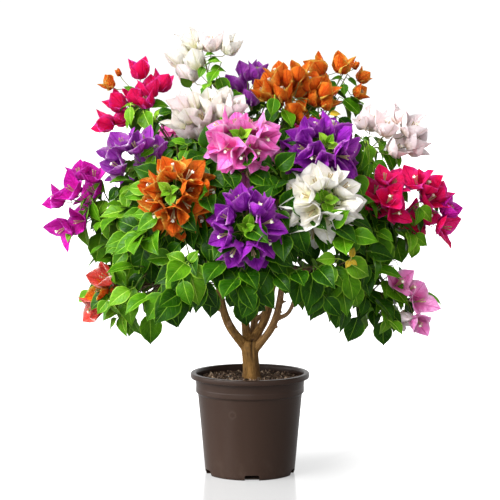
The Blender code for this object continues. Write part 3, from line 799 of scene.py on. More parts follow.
limbs, stubs = plan_limbs()
column, column_radii = trunk_path()
lines = [(column, column_radii)]
lines += [(limb.path, tapered(*limb)) for limb in [*limbs.values(), *stubs]]
lines += [(knob.path, tapered(*knob)) for knob in [stand_out(one, limbs) for one in KNOBS]]
wood = wood_skin([tube(path, radii, 20 if k == 0 else 14) for k, (path, radii) in enumerate(lines)])
furrow(wood, lines)
wood.data.materials.append(bark())
wood.data.shade_smooth()
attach(wood, "root")
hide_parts("trunk", *["bough_" + name for name in MASSES])
wood_tree = BVHTree.FromObject(wood, bpy.context.evaluated_depsgraph_get())


# Stems and twigs: one stem carries on from each bough's tip, and twigs branch from it out to the
# surface of the crown, where each branches once more. They are this year's wood, brown where they
# leave the stem and green and soft at their ends.
SHELL_SIDE = 0.222
SHELL_DEPTH = 0.210
SHELL_TOP = 0.180
HUB_SHARE = 0.74
SKIRT_SIDE = math.radians(-27)
SKIRT_FRONT = math.radians(-14)
SHOOTS_ROUND = 124
GOLDEN = math.radians(137.508)
BORDER = -0.014
STEM_TIP = 0.0022
TWIG_ROOT = 0.0017
TWIG_TIP = 0.0010
SIDE_TWIG_ROOT = 0.0013
SIDE_TWIG_TIP = 0.0008
SIDE_TWIGS = 3
SPRAY_SIDE_TWIGS = 5
SIDE_TWIG_LENGTH = 0.052
SIDE_TWIGS_FROM = 0.30
SIDE_TWIGS_OVER = 0.50
OUTSIDE = 1.06
SIDE_TWIG_ANGLE = math.radians(48)
TWIG_CLEAR = 0.0015
TWIG_SAG = 0.35
SIDE_TWIG_SAG = 0.25
STEM_ROOT = 0.004
POSY_SHOOT = 0.022
DROOP_FROM = 0.75

# A posy is a tight dome of flowers, a loose spray has them strung along its twig, and an open one
# faces out like a posy: the length of twig that the flowers stand on, and how far the twig's
# end lies behind the middle of the spray
Form = namedtuple("Form", "depth back")
FORMS = {"posy": Form(0.020, 0.012), "loose": Form(0.070, -0.010), "open": Form(0.050, 0.014)}

# The blossom: the middle of each spray in the frame, its colours, and its flowers. A posy says how
# many it has. The others say for each how far across and up from the middle it stands, and how
# large it is. Small ones are buds. Places are in millimetres.
Spray = namedtuple("Spray", "mass form place colours flowers")
SPRAYS = (
    Spray("upper_left", "loose", (-183, 35, 604), ("crimson",) * 8 + ("orange",) * 2, (
        (7, 45, 1), (44, 24, 1), (23, 15, 1), (-1, 2, 1), (-33, -9, 1), (-29, -35, 1), (-54, -44, 1),
        (16, -4, 0.9), (-46, 21, 0.7), (-28, 37, 0.35))),
    Spray("top_left", "loose", (-70, 30, 652), ("white", "blush", "white"), (
        (-47, 16, 1.1), (-31, -9, 1.1), (-21, 12, 1.1), (-28, 44, 1.1), (7, 42, 1.1), (41, 34, 0.99),
        (-9, 32, 0.39))),
    Spray("top_left", "open", (-69, -45, 580), ("white", "blush"), (
        (-48, -12, 1.1), (-33, -28, 1.04), (-30, 0, 1.1), (-41, 14, 0.99), (-22, 20, 0.99), (-8, -6, 1.1),
        (8, 16, 1.1), (12, -9, 1.04), (30, 6, 1.1), (48, 9, 1.04), (25, 25, 0.99), (-9, -28, 0.99))),
    Spray("top", "open", (-4, 55, 627), ("lilac",), (
        (-21, 0, 1), (-2, 19, 1), (-11, -16, 0.9), (16, 19, 0.9), (23, 0, 0.9), (6, -23, 0.9))),
    Spray("top", "open", (72, 5, 611), ("orange",), (
        (-54, 2, 1), (-41, 16, 1), (-30, 32, 0.95), (-21, 2, 1), (-10, 24, 1), (6, 32, 0.95), (10, 6, 1),
        (25, 17, 1), (35, -6, 1), (51, 3, 1), (54, -14, 0.9), (0, -22, 1), (13, -38, 0.9),
        (-33, -13, 0.9))),
    Spray("top_right", "loose", (145, 45, 630), ("orange",), (
        (-40, 22, 1), (3, 27, 1), (40, 5, 0.7), (35, -21, 0.72), (26, 22, 0.38), (-26, 5, 0.38))),
    Spray("upper_right", "loose", (222, -40, 550), ("blush",), (
        (-30, 20, 1.16), (-8, 11, 1.16), (-50, 14, 0.7), (14, 25, 0.87), (34, 9, 1.16), (40, -13, 1.16),
        (43, -27, 0.99), (10, -25, 0.99))),
    Spray("upper_left_front", "open", (-180, -80, 508), ("lilac",), (
        (-19, 28, 1), (-35, 11, 1), (-29, -10, 1), (-33, -26, 0.8), (15, 30, 1), (18, 2, 1), (36, 16, 1),
        (2, 22, 0.9))),
    Spray("left", "loose", (-268, -45, 438), ("magenta",), (
        (-1, 50, 0.92), (25, 47, 0.92), (-14, 23, 1.02), (-40, 6, 0.94), (16, 20, 1.02), (3, -8, 1.02),
        (-4, -32, 0.92), (-31, -47, 1.02))),
    Spray("front_left", "posy", (-116, -170, 458), ("orange",), 16),
    Spray("front_top", "posy", (-11, -140, 534), ("pink",), 16),
    Spray("front_right_upper", "posy", (113, -120, 522), ("violet",), 16),
    Spray("front_right", "posy", (111, -185, 446), ("white",), 15),
    Spray("front", "posy", (-5, -215, 408), ("violet",), 15),
    Spray("right", "open", (220, -90, 442), ("crimson",), (
        (-25, 20, 0.98), (4, 30, 0.98), (-35, -2, 0.86), (-4, 6, 0.98), (-21, -13, 0.82), (10, -19, 0.86),
        (-13, 40, 0.82))),
    Spray("right", "loose", (278, -50, 427), ("crimson",) * 8 + ("magenta",), (
        (-22, 50, 1.04), (0, 42, 1.04), (8, 20, 1.04), (-15, -7, 0.9), (5, -10, 0.88), (-23, -37, 1.04),
        (35, -31, 1.06), (25, 25, 0.88), (38, 1, 0.94))),
    Spray("left_low", "loose", (-230, -85, 304), ("coral", "orange"), (
        (2, 22, 1.12), (-7, -2, 0.95), (-20, -34, 1.01), (21, 1, 0.47))),
    Spray("right_low", "loose", (245, -85, 286), ("mauve",) * 3 + ("blush",), (
        (-11, 32, 0.9), (9, 22, 0.8), (22, 2, 1), (-1, -33, 0.85), (19, -36, 0.9))),
    Spray("back_upper_left", "posy", (-110, 150, 528), ("pink",), 14),
    Spray("back_upper_right", "posy", (106, 150, 524), ("crimson",), 14),
    Spray("back", "posy", (0, 215, 415), ("orange",), 15),
    Spray("back_left", "posy", (-176, 150, 425), ("violet",), 14),
    Spray("back_right", "posy", (176, 150, 425), ("magenta",), 14),
)

# Twigs that stand out of the crown's front or droop from it, mass by mass: the tone of the leaves,
# the twig's end, and for every leaf how far along the twig it grows and where its tip comes, in
# millimetres
DROOPS = {
    "left": (
        ("mid", (-232, -20, 396), (1, -245, -30, 336)),
        ("deep", (-199, -60, 463), (1, -224, -70, 441), (0.93, -213, -70, 443)),
        ("mid", (-207, -60, 430), (1, -228, -70, 403)),
        ("mid", (-192, -60, 392), (1, -212, -70, 364)),
    ),
    "left_low": (
        ("mid", (-186, -80, 368), (1, -214, -90, 339), (0.85, -197, -80, 304)),
        ("deep", (-159, -90, 381), (1, -177, -90, 317), (0.8, -151, -80, 307)),
        ("bright", (-164, -70, 298), (1, -204, -80, 282)),
        ("mid", (-158, -70, 276), (1, -152, -70, 207)),
        ("mid", (-182, -50, 269), (1, -192, -50, 223)),
    ),
    "front_left_low": (
        ("deep", (-125, -80, 296), (1, -114, -80, 234)),
        ("deep", (-105, -100, 309), (1, -90, -100, 267)),
        ("deep", (-53, -100, 315), (1, -67, -100, 255)),
        ("mid", (-65, -160, 356), (1, -29, -160, 314)),
        ("deep", (-13, -110, 307), (1, -1, -110, 241), (0.9, -35, -100, 272), (0.97, 30, -90, 268)),
        ("deep", (-19, -130, 338), (1, -5, -130, 303)),
        ("deep", (-72, -120, 374), (1, -58, -125, 325), (0.9, -92, -125, 322)),
        ("bright", (-93, -190, 352),
         (1, -133, -195, 334), (0.97, -125, -195, 372), (1, -78, -195, 376), (1, -61, -200, 332),
         (0.96, -75, -200, 290), (0.93, -127, -200, 303)),
    ),
    "front_right_low": (
        ("mid", (49, -140, 361), (1, 16, -150, 314), (0.9, 56, -120, 294)),
        ("mid", (81, -150, 352), (1, 64, -150, 290)),
        ("deep", (104, -110, 309), (1, 95, -110, 256)),
        ("deep", (87, -140, 391), (1, 98, -140, 339), (0.8, 72, -140, 352)),
        ("bright", (134, -170, 359), (1, 98, -180, 360), (0.97, 97, -170, 311), (1, 189, -170, 333)),
        ("mid", (144, -160, 344), (1, 161, -160, 288), (0.9, 109, -140, 289)),
        ("deep", (116, -100, 303), (1, 98, -100, 258)),
        ("deep", (143, -100, 292), (1, 132, -100, 239)),
        ("rust", (151, -175, 359), (1, 155, -180, 378), (1, 143, -180, 346), (0.97, 161, -180, 351)),
    ),
    "right_low": (
        ("deep", (170, -80, 271), (1, 152, -80, 212), (0.75, 182, -80, 293)),
        ("deep", (209, -50, 260), (1, 208, -50, 204), (0.8, 195, -60, 240), (0.6, 219, -70, 282)),
    ),
    "right": (
        ("mid", (192, -90, 399), (1, 211, -90, 331), (0.9, 215, -50, 307)),
        ("mid", (226, -30, 392), (1, 240, -30, 330)),
    ),
    "top_left": (
        ("mid", (-75, 30, 670),
         (0.97, -57, 20, 672), (0.93, -45, 20, 659), (0.85, -37, 20, 646), (0.9, -82, 20, 630)),
        ("mid", (-59, 20, 620), (0.97, -85, 10, 603), (1, -28, 10, 623), (0.88, -43, 0, 589)),
        ("mid", (-36, 20, 601), (1, -3, 10, 598)),
    ),
    "upper_left": (
        ("mid", (-182, 30, 608), (0.85, -186, 20, 557), (0.85, -128, 20, 589), (0.97, -201, 30, 620)),
        ("deep", (-149, 0, 570), (1, -129, 0, 556), (1, -119, 0, 584), (0.95, -158, -10, 536)),
    ),
    "upper_left_front": (
        ("mid", (-96, -80, 527), (1, -122, -80, 538), (0.95, -108, -90, 498)),
        ("deep", (-113, -80, 524), (0.97, -142, -80, 504), (1, -132, -70, 531)),
    ),
    "top_right": (
        ("mid", (156, 45, 636),
         (0.95, 130, 40, 632), (0.88, 112, 40, 624), (0.93, 151, 30, 602), (0.97, 173, 40, 618)),
        ("mid", (143, 40, 600), (1, 179, 30, 573), (0.88, 116, 30, 587)),
        ("deep", (136, 20, 570), (1, 167, 10, 546)),
    ),
    "upper_right": (
        ("mid", (210, -20, 519), (1, 228, -30, 488), (0.95, 213, -20, 534)),
        ("mid", (191, -30, 502), (0.97, 218, -40, 487), (0.97, 180, -50, 474)),
        ("deep", (177, -10, 539), (1, 189, -20, 528), (0.95, 185, -30, 513)),
    ),
    "top": (
        ("deep", (97, 0, 583), (0.95, 112, -10, 567)),
        ("rust", (126, 0, 573), (0.97, 145, 0, 579)),
    ),
    "front_left": (
        ("mid", (-177, -100, 431), (1, -181, -110, 389)),
    ),
}


def metres(place):
    """A place that is given in millimetres."""
    return Vector([c / 1000 for c in place])


def cell_planes(name):
    """The planes through the heart that part a mass from its neighbours."""
    mine = direction_of(name)
    return [(mine - direction_of(other)).normalized() for other in MASSES if other != name]


def in_cell(points, planes, reach=BORDER):
    """Whether points stay in a mass's own space, give or take a leaf's width."""
    return all((p - HEART).dot(plane) > reach for plane in planes for p in points)


def shell(way):
    """How far the leafy shoots reach from the heart, this way."""
    x, y, z = way.x / SHELL_SIDE, way.y / SHELL_DEPTH, way.z / SHELL_TOP
    return 1 / math.sqrt(x * x + y * y + z * z)


def lowest_shoot(way):
    """The crown's skirt hangs lower at the sides than at the front and the back."""
    sideways = abs(way.x) / max(math.hypot(way.x, way.y), 1e-6)
    return SKIRT_FRONT + (SKIRT_SIDE - SKIRT_FRONT) * sideways**2


def shoot_ends():
    """Places spread evenly over the crown, dealt out to the masses by direction."""
    ends = {name: [] for name in MASSES}
    for k in range(SHOOTS_ROUND):
        height = 1 - 2 * (k + 0.5) / SHOOTS_ROUND
        flat = math.sqrt(1 - height * height)
        way = Vector((flat * math.cos(k * GOLDEN), flat * math.sin(k * GOLDEN), height))
        if math.asin(height) < lowest_shoot(way):
            continue
        mass = max(MASSES, key=lambda name: way.dot(direction_of(name)))
        wobble = 0.93 + 0.14 * random.Random(k).random()
        ends[mass].append(HEART + way * shell(way) * wobble)
    return ends


def facing_of(place, form):
    """A posy looks out of the crown, more level than its twig. A loose spray runs on outwards."""
    out = place - HEART
    if form != "loose":
        return Vector((out.x * 0.5, out.y, (out.z - 0.02) * 0.7)).normalized()
    return out.normalized()


def clear_of_wood(points):
    return all(wood_tree.find_nearest(point, TWIG_CLEAR)[0] is None for point in points)


def spray_twig(spray, stem, out, rng):
    """The twig of a spray, which ends in the midst of its flowers."""
    place = metres(spray.place)
    facing = facing_of(place, spray.form)
    start, run = stem.at(0.5 + 0.3 * rng.random())
    end = place - facing * FORMS[spray.form].back
    return Path.swept(start, run + out * 0.4, end, facing, 10), facing


def leafy_twig(place, stem, rng):
    start, run = stem.at(0.15 + 0.75 * rng.random())
    towards = (place - start).normalized()
    return Path.swept(start, run + towards, place, towards - Vector((0, 0, TWIG_SAG)), 8)


def side_twigs(path, planes, rng, count=SIDE_TWIGS):
    """Finer twigs off another, to alternate sides, none further out than its own end."""
    made = []
    turn = rng.random() * 2 * math.pi
    furthest = (path.points[-1] - HEART).length
    for k in range(count):
        start, run = path.at(SIDE_TWIGS_FROM + SIDE_TWIGS_OVER * (k + rng.random() * 0.6) / count)
        way = between(run, off_at(run, turn + k * GOLDEN), SIDE_TWIG_ANGLE)
        end = start + way * SIDE_TWIG_LENGTH * (0.7 + 0.5 * rng.random())
        out = end - HEART
        reach = max(shell(out.normalized()) * OUTSIDE, furthest)
        if out.length > reach:
            end = HEART + out * (reach / out.length)
        twig = Path.swept(start, way, end, way - Vector((0, 0, SIDE_TWIG_SAG)), 5)
        low = math.asin(out.normalized().z) < lowest_shoot(out)
        if not low and in_cell(twig.points, planes) and clear_of_wood(twig.points[2:]):
            made.append(twig)
    return made


Growth = namedtuple("Growth", "stem sprays leafy fine spray_fine shoots droops planes rng")


def branch(name, limb, ends, seed):
    """The stem of a mass, the twigs of its sprays, its leafy twigs and the finer ones on those."""
    rng = random.Random(seed)
    planes = cell_planes(name)
    out = direction_of(name)
    hub = HEART + out * shell(out) * HUB_SHARE
    stem = Path.straight(limb.path.points[-1] - limb.path.ways[-1] * STEM_ROOT, hub, 6)
    sprays, leafy = [], []
    for spray in [spray for spray in SPRAYS if spray.mass == name]:
        sprays.append((spray, *spray_twig(spray, stem, out, rng)))
    for place in ends:
        path = leafy_twig(place, stem, rng)
        if in_cell(path.points, planes) and clear_of_wood(path.points[2:]):
            leafy.append(path)
    fine = [twig for path in leafy for twig in side_twigs(path, planes, rng)]
    spray_fine = [twig for _, path, _ in sprays for twig in side_twigs(path, planes, rng, SPRAY_SIDE_TWIGS)]
    shoots = []
    for spray, path, facing in sprays:
        if spray.form == "posy":
            tip = path.points[-1]
            shoots.append(Path.straight(tip, tip + facing * POSY_SHOOT, 2))
    droops = []
    start, run = stem.at(DROOP_FROM)
    for tone, end, *leaves in DROOPS.get(name, ()):
        way = metres(end) - start
        droops.append((tone, leaves, Path.swept(start, run + way.normalized(), metres(end), way, 6)))
    return Growth(stem, sprays, leafy, fine, spray_fine, shoots, droops, planes, rng)


def twig_tree():
    """Geometry nodes that give lines of points a round body as thick as each point says."""
    takes = {"Lines": "Geometry", "Sides": "Int", "Material": "Material"}
    tree, given, result = new_group("round_twigs", takes, {"Twigs": "Geometry"}, "GeometryNodeTree")
    curves = put(tree, "GeometryNodeMeshToCurve", {"Mesh": given["Lines"]}).outputs["Curve"]
    ring = put(tree, "GeometryNodeCurvePrimitiveCircle", {"Resolution": given["Sides"], "Radius": 1.0})
    thick = put(tree, "GeometryNodeInputNamedAttribute", {"Name": "thickness"}).outputs["Attribute"]
    body = {"Curve": curves, "Profile Curve": ring.outputs["Curve"], "Scale": thick, "Fill Caps": True}
    round_body = put(tree, "GeometryNodeCurveToMesh", body).outputs["Mesh"]
    smooth = put(tree, "GeometryNodeSetShadeSmooth", {"Geometry": round_body}).outputs[0]
    finish_tree(tree, smooth, given, result)
    return tree


def young_wood():
    """Brown bark on the stem's side, green skin towards a twig's end, with pale pores."""
    material, tree, shader = new_material("young_wood", Specular_IOR_Level=0.2)
    place = object_place(tree)
    brown, pores = mottled(tree, place, (0.075, 0.040, 0.022), (0.165, 0.100, 0.055), 90.0, 700.0)
    green, _ = mottled(tree, place, (0.060, 0.105, 0.018), (0.120, 0.180, 0.040), 90.0, 700.0)
    shade = tint(tree, fade(tree, read(tree, "youth"), 0.35, 0.95), brown, green)
    wire(tree, shader, shade, fade(tree, pores, 0.3, 0.7, 0.45, 0.65), pores, 0.0003)
    return material


def line_piece(name, lines):
    """An object of bare lines, with a thickness and a youth at each point."""
    points, edges, thickness, youth = [], [], [], []
    for path, first, last, young in lines:
        count = len(path.points)
        edges += [(len(points) + k, len(points) + k + 1) for k in range(count - 1)]
        points += path.points
        thickness += list(np.linspace(first, last, count))
        youth += list(np.linspace(young[0], young[1], count))
    piece = new_piece(name, points, [], edges=edges)
    note(piece.data, "thickness", thickness)
    note(piece.data, "youth", youth)
    return piece


ends = shoot_ends()
growths = {name: branch(name, limbs[name], ends[name], seed) for seed, name in enumerate(MASSES)}
give_body = twig_tree()
skin_of_twigs = young_wood()
for name, growth in growths.items():
    cores = [(growth.stem, limbs[name].last, STEM_TIP, (0.0, 0.3))]
    cores += [(path, TWIG_ROOT, TWIG_TIP, (0.2, 1.0)) for _, path, _ in growth.sprays]
    cores += [(path, TWIG_ROOT, TWIG_TIP, (0.2, 0.9)) for path in growth.leafy]
    cores += [(path, SIDE_TWIG_ROOT, SIDE_TWIG_TIP, (0.4, 1.0)) for path in growth.fine + growth.spray_fine]
    cores += [(path, TWIG_TIP, SIDE_TWIG_TIP, (1.0, 1.0)) for path in growth.shoots]
    cores += [(path, TWIG_ROOT, SIDE_TWIG_TIP, (0.1, 0.6)) for _, _, path in growth.droops]
    twigs = line_piece("twigs_" + name, cores)
    run_nodes(twigs, give_body, Sides=6, Material=skin_of_twigs)
    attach(twigs, "root")
    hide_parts("foliage_" + name)


# Blossom: each flower is three papery bracts round three slim tubes, one of which may be open as a
# small cream star. Flowers stand on thin stalks round the end of a twig, and each graft has its own
# colour. The bracts are cupped, creased down the middle, and turned out at their points.
FLOWER_STALK = 0.030
LEAST_STALK = 0.008
STALK_RADIUS = 0.00055
BRACT_LENGTH = 0.0445
BRACT_WIDTH = 0.0375
BRACT_THICK = 0.00035
BRACT_TILT = 0.14
BRACT_KEEL = 0.24
BRACT_RIPPLE = 0.16
CUP_RADIUS = 0.29
OPEN_LEAST = 0.25
OPEN_MOST = 1.00
CUPPED_FROM = 0.46
BUD_SIZE = 0.5
SPRAY_DEPTH = 0.018
TUBE_SHARE = 0.50
STAR_RADIUS = 0.0032
STAR_CHANCE = 0.45
RING_SHARE = 0.56
RING_LEANS = (math.radians(54), math.radians(86))
RING_SWAY = math.radians(8)
POSY_TRIES = 5
CLEAR_AHEAD = 0.026
FLOWER_REACH = 0.020
FLOWER_MIDDLE = 0.45
CELL = 0.05
LIGHT_SIDE = Vector((-0.30, -0.85, 0.30))
BRACT_COLUMNS = (-1.0, -0.5, 0.0, 0.5, 1.0)

# How wide a bract is along its length, in shares of its length and of its greatest width
BRACT_OUTLINE = (
    (0.0, 0.0), (0.08, 0.50), (0.22, 0.88), (0.42, 1.0), (0.62, 0.90), (0.79, 0.61), (0.91, 0.26), (1.0, 0.0)
)

# The side view of a bract's midline, in shares of its length: along it, out from the flower's
# axis and on along the axis when it is shut, and how much each changes when it is wide open
MIDLINE = (
    (0.00, 0.02, 0.00, 0.00, 0.00),
    (0.15, 0.17, 0.08, 0.00, -0.01),
    (0.35, 0.28, 0.25, 0.06, -0.05),
    (0.60, 0.31, 0.49, 0.20, -0.13),
    (0.80, 0.27, 0.69, 0.37, -0.21),
    (1.00, 0.24, 0.88, 0.58, -0.30),
)

# A graft's colours: the paper of its bracts, a deeper shade of it, and the throat
Paper = namedtuple("Paper", "light deep throat")
PAPERS = {
    "crimson": Paper((0.850, 0.012, 0.140), (0.640, 0.003, 0.062), (0.400, 0.001, 0.040)),
    "magenta": Paper((0.520, 0.013, 0.330), (0.370, 0.003, 0.220), (0.240, 0.001, 0.120)),
    "pink": Paper((0.950, 0.240, 0.640), (0.860, 0.105, 0.440), (0.640, 0.030, 0.200)),
    "blush": Paper((0.955, 0.820, 0.842), (0.890, 0.690, 0.712), (0.600, 0.440, 0.280)),
    "white": Paper((0.960, 0.930, 0.870), (0.920, 0.860, 0.750), (0.560, 0.560, 0.230)),
    "lilac": Paper((0.370, 0.062, 0.440), (0.240, 0.020, 0.320), (0.140, 0.004, 0.170)),
    "violet": Paper((0.310, 0.031, 0.410), (0.170, 0.008, 0.260), (0.100, 0.002, 0.140)),
    "orange": Paper((0.700, 0.152, 0.012), (0.500, 0.067, 0.004), (0.240, 0.016, 0.003)),
    "coral": Paper((0.760, 0.105, 0.080), (0.620, 0.048, 0.034), (0.440, 0.030, 0.012)),
    "mauve": Paper((0.950, 0.350, 0.670), (0.800, 0.170, 0.470), (0.460, 0.040, 0.200)),
}

# A blade's faces, the place on its map of each face's corners, and which side each face is on
Pattern = namedtuple("Pattern", "faces maps sides")


def blade_pattern(stations, columns, below, rib=False):
    """The faces of a closed blade, from its base over rows of points to its tip. The columns below
    are those of its underside, between the two edges that both sides share."""
    width, last = len(columns), len(stations) - 2
    row_size = width + len(below)
    across = list(columns) + list(below)
    back = [0, *range(width, row_size), width - 1]
    faces, maps, sides = [], [], []

    def spot(row, column):
        if row in (0, last + 1):
            return 0 if row == 0 else 1 + last * row_size
        return 1 + (row - 1) * row_size + column

    def add(corners, side):
        kept = list({spot(*corner): corner for corner in corners}.values())
        faces.append(tuple(spot(*corner) for corner in kept))
        maps.extend((0.5 + across[column] / 2, stations[row]) for row, column in kept)
        sides.append(side)

    for row in range(last + 1):
        for k in range(width - 1):
            side = "rib" if rib and k == (width - 2) // 2 else "upper"
            add([(row, k), (row, k + 1), (row + 1, k + 1), (row + 1, k)], side)
        for left, right in zip(back, back[1:]):
            add([(row, left), (row + 1, left), (row + 1, right), (row, right)], "under")
    return Pattern(faces, maps, sides)


class Heap:
    """Many small closed shapes gathered into one mesh, each face with its map and its material."""

    def __init__(self):
        self.points, self.faces, self.maps, self.looks = [], [], [], []
        self.count = 0

    def add(self, points, pattern, looks):
        """Adds a shape. Looks gives the material number of each of the pattern's sides."""
        self.points.append(points)
        self.faces += [tuple(self.count + j for j in face) for face in pattern.faces]
        self.maps += pattern.maps
        self.looks += [looks[side] for side in pattern.sides]
        self.count += len(points)

    def add_tube(self, path, radii, looks, sides=3):
        points, faces = tube(path, radii, sides)
        corners = sum(len(face) for face in faces)
        pattern = Pattern(faces, [(0.5, 0.02)] * corners, ["all"] * len(faces))
        self.add(np.array(points), pattern, {"all": looks})

    def make(self, name, materials, sharp):
        used = sorted(set(self.looks))
        piece = new_piece(name, np.concatenate(self.points), self.faces, *[materials[k] for k in used])
        layer = piece.data.uv_layers.new(name="blade_map")
        layer.data.foreach_set("uv", np.array(self.maps, np.float32).ravel())
        piece.data.polygons.foreach_set("material_index", [used.index(look) for look in self.looks])
        piece.data.shade_smooth()
        piece.data.set_sharp_from_angle(angle=sharp)
        return piece


def blade_grid(root, way, up, forward, lift, half, columns, below, sideways, rise, thick):
    """The points of a blade: how far each row lies forward and up, and how wide it is, then how
    far each column of it goes to the side and up, in shares of its half width."""
    across = way.cross(up)
    rows = [root + way * forward[0] + up * lift[0]]
    for k in range(1, len(forward) - 1):
        middle = root + way * forward[k] + up * lift[k]
        rows += [middle + (across * x + up * z) * half[k] for x, z in zip(sideways[k], rise[k])]
        for column in below:
            x, z = np.interp(column, columns, sideways[k]), np.interp(column, columns, rise[k])
            rows.append(middle + (across * x + up * z) * half[k] - up * thick)
    rows.append(root + way * forward[-1] + up * lift[-1])
    return np.array(rows)


BRACT = blade_pattern([t for t, _ in BRACT_OUTLINE], BRACT_COLUMNS, BRACT_COLUMNS[1:-1])


def bract_points(throat, axis, out, size, openness, rng):
    """A bract that swells from the throat, wraps round the flower and turns out at its point. One
    edge of it lies outside its neighbour's, like the petals of a pinwheel."""
    t = np.array([share for share, _ in BRACT_OUTLINE])
    half = np.array([wide for _, wide in BRACT_OUTLINE]) * BRACT_WIDTH / 2 * size
    length = BRACT_LENGTH * size
    marks, shut_out, shut_on, more_out, more_on = np.array(MIDLINE).T
    outward = length * np.interp(t, marks, shut_out + openness * more_out)
    onward = length * np.interp(t, marks, shut_on + openness * more_on)
    curve = length * (CUP_RADIUS + openness * (0.12 + 0.60 * t))
    columns = np.array(BRACT_COLUMNS)
    wave = BRACT_RIPPLE * np.sin(t * 10 + rng.random() * 6)
    sideways, rise = [columns], [columns]
    for k in range(1, len(t)):
        bend = columns * half[k] / curve[k]
        wrap = curve[k] / max(half[k], 1e-6)
        sideways.append(wrap * np.sin(bend))
        fold = BRACT_TILT * columns + BRACT_KEEL * abs(columns) + wave[k] * columns * abs(columns)
        rise.append(wrap * (1 - np.cos(bend)) + fold)
    # The blade's upper side looks to the flower's axis, so up is inwards
    return blade_grid(
        throat, axis, -out, onward, -outward, half, BRACT_COLUMNS, BRACT_COLUMNS[1:-1], sideways, rise,
        BRACT_THICK,
    )


def star_pattern():
    """Five points round a sunken middle on a slim tube: the fan, its underside and the tube."""
    faces = [(0, 1 + k, 1 + (k + 1) % 10) for k in range(10)]
    faces += [(1 + (k + 1) % 10, 1 + k, 11) for k in range(10)]
    return Pattern(faces, [(0.5, 0.5)] * 60, ["star"] * 20)


STAR = star_pattern()


def star_points(middle, way, size, turn):
    ring = []
    for k in range(10):
        reach = STAR_RADIUS * size * (1.0 if k % 2 == 0 else 0.52)
        ring.append(middle + off_at(way, turn + k * math.pi / 5) * reach)
    sunk = middle - way * STAR_RADIUS * size * 0.25
    return np.array([sunk, *ring, middle - way * STAR_RADIUS * size * 1.6])


def veined(name, group, shades, relief, **uniform):
    """The stuff of a blade, with its shades laid out by a group for its veins."""
    material, tree, shader = new_material(name, **uniform)
    made = put(tree, "ShaderNodeGroup", shades._asdict(), node_tree=group).outputs
    wire(tree, shader, made["Colour"], made["Roughness"], made["Height"], relief)
    return material


def bract_paper(name, paper):
    """Thin dry paper that is hardly glossy, and lets some of the light through."""
    through = dict(Subsurface_Weight=0.7, Subsurface_Radius=(1, 1, 1), Subsurface_Scale=0.0015)
    return veined(name, PAPER_VEINS, paper, 0.0009, Specular_IOR_Level=0.06, **through)


def vein_lines(tree, across, along, count, slant, sharpness):
    """A mask of side veins that leave the midrib and slant on towards the edge."""
    run = calc(tree, "MULTIPLY_ADD", across, -slant, along)
    wave = calc(tree, "FRACT", calc(tree, "MULTIPLY", run, count))
    near = calc(tree, "ABSOLUTE", calc(tree, "SUBTRACT", wave, 0.5))
    return fade(tree, near, 0.5 - sharpness, 0.5)


def map_place(tree):
    """How far across a blade from its midrib, how far along it, and the place itself."""
    place = put(tree, "ShaderNodeUVMap", {}, uv_map="blade_map").outputs[0]
    parts = split(tree, place)
    across = calc(tree, "ABSOLUTE", calc(tree, "MULTIPLY_ADD", parts["X"], 2.0, -1.0))
    return across, parts["Y"], place


BLADE_LOOKS = {"Colour": "Color", "Roughness": "Float", "Height": "Float"}


def paper_veins_group():
    """A net of fine veins: deeper along them, another shade in the throat, partly the paper's own and partly
    painted shade deep in the cup, and a pale edge that is painted backlight.
    """
    tree, given, result = new_group("paper_veins", dict.fromkeys(Paper._fields, "Color"), BLADE_LOOKS)
    across, along, place = map_place(tree)
    patches = spots(tree, object_place(tree), 55.0, 2.0)
    midrib = fade(tree, across, 0.0, 0.10, 1.0, 0.0)
    veins = vein_lines(tree, across, along, 5.0, 0.45, 0.10)
    net = put(tree, "ShaderNodeTexVoronoi", {"Vector": place, "Scale": 11.0}, feature="DISTANCE_TO_EDGE")
    mesh = fade(tree, net.outputs["Distance"], 0.0, 0.08, 0.6, 0.0)
    lines = calc(tree, "MAXIMUM", calc(tree, "MAXIMUM", midrib, veins), mesh)
    paper = tint(tree, fade(tree, patches, 0.35, 0.70), given["deep"], given["light"])
    paper = tint(tree, calc(tree, "MULTIPLY", lines, 0.85), paper, given["deep"])
    # The throat's shade is partly the paper's own colour and partly painted shade deep in the cup
    root = fade(tree, along, 0.05, 0.55, 0.90, 0.0)
    throat = calc(tree, "MAXIMUM", root, calc(tree, "MULTIPLY", midrib, 0.55))
    paper = tint(tree, throat, paper, given["throat"])
    # Painted backlight: the paper is painted paler along its edge
    painted_backlight = fade(tree, across, 0.80, 0.97, 0.0, 0.60)
    paper = tint(tree, painted_backlight, paper, given["light"])
    gloss = fade(tree, patches, 0.3, 0.7, 0.50, 0.68)
    give(tree, result, {"Colour": paper, "Roughness": gloss, "Height": calc(tree, "MULTIPLY", lines, -1.0)})
    return tree


def soft_stuff(name, dark, light, gloss):
    """Stalks, stars and other small soft parts: one colour, a little cloudy."""
    return cloudy(name, (dark, light), (120.0, 900.0), (gloss, gloss + 0.15), 0.0001, 0.15)


PAPER_VEINS = paper_veins_group()
PAPER_STUFF = {name: bract_paper("bract_" + name, paper) for name, paper in PAPERS.items()}
STALK_STUFF = soft_stuff("flower_stalk", (0.110, 0.120, 0.030), (0.200, 0.210, 0.060), 0.5)
TUBE_STUFF = soft_stuff("flower_tube", (0.280, 0.210, 0.100), (0.500, 0.400, 0.220), 0.5)
STAR_STUFF = soft_stuff("cream_star", (0.800, 0.740, 0.580), (0.900, 0.870, 0.780), 0.5)


def solid(points, faces, held_back=0.0):
    """A search tree of a rough shape. Its root may be held back, so that it doesn't count."""
    middle = sum(points, Vector()) / len(points)
    return BVHTree.FromPolygons([points[0].lerp(middle, held_back)] + points[1:], faces), middle


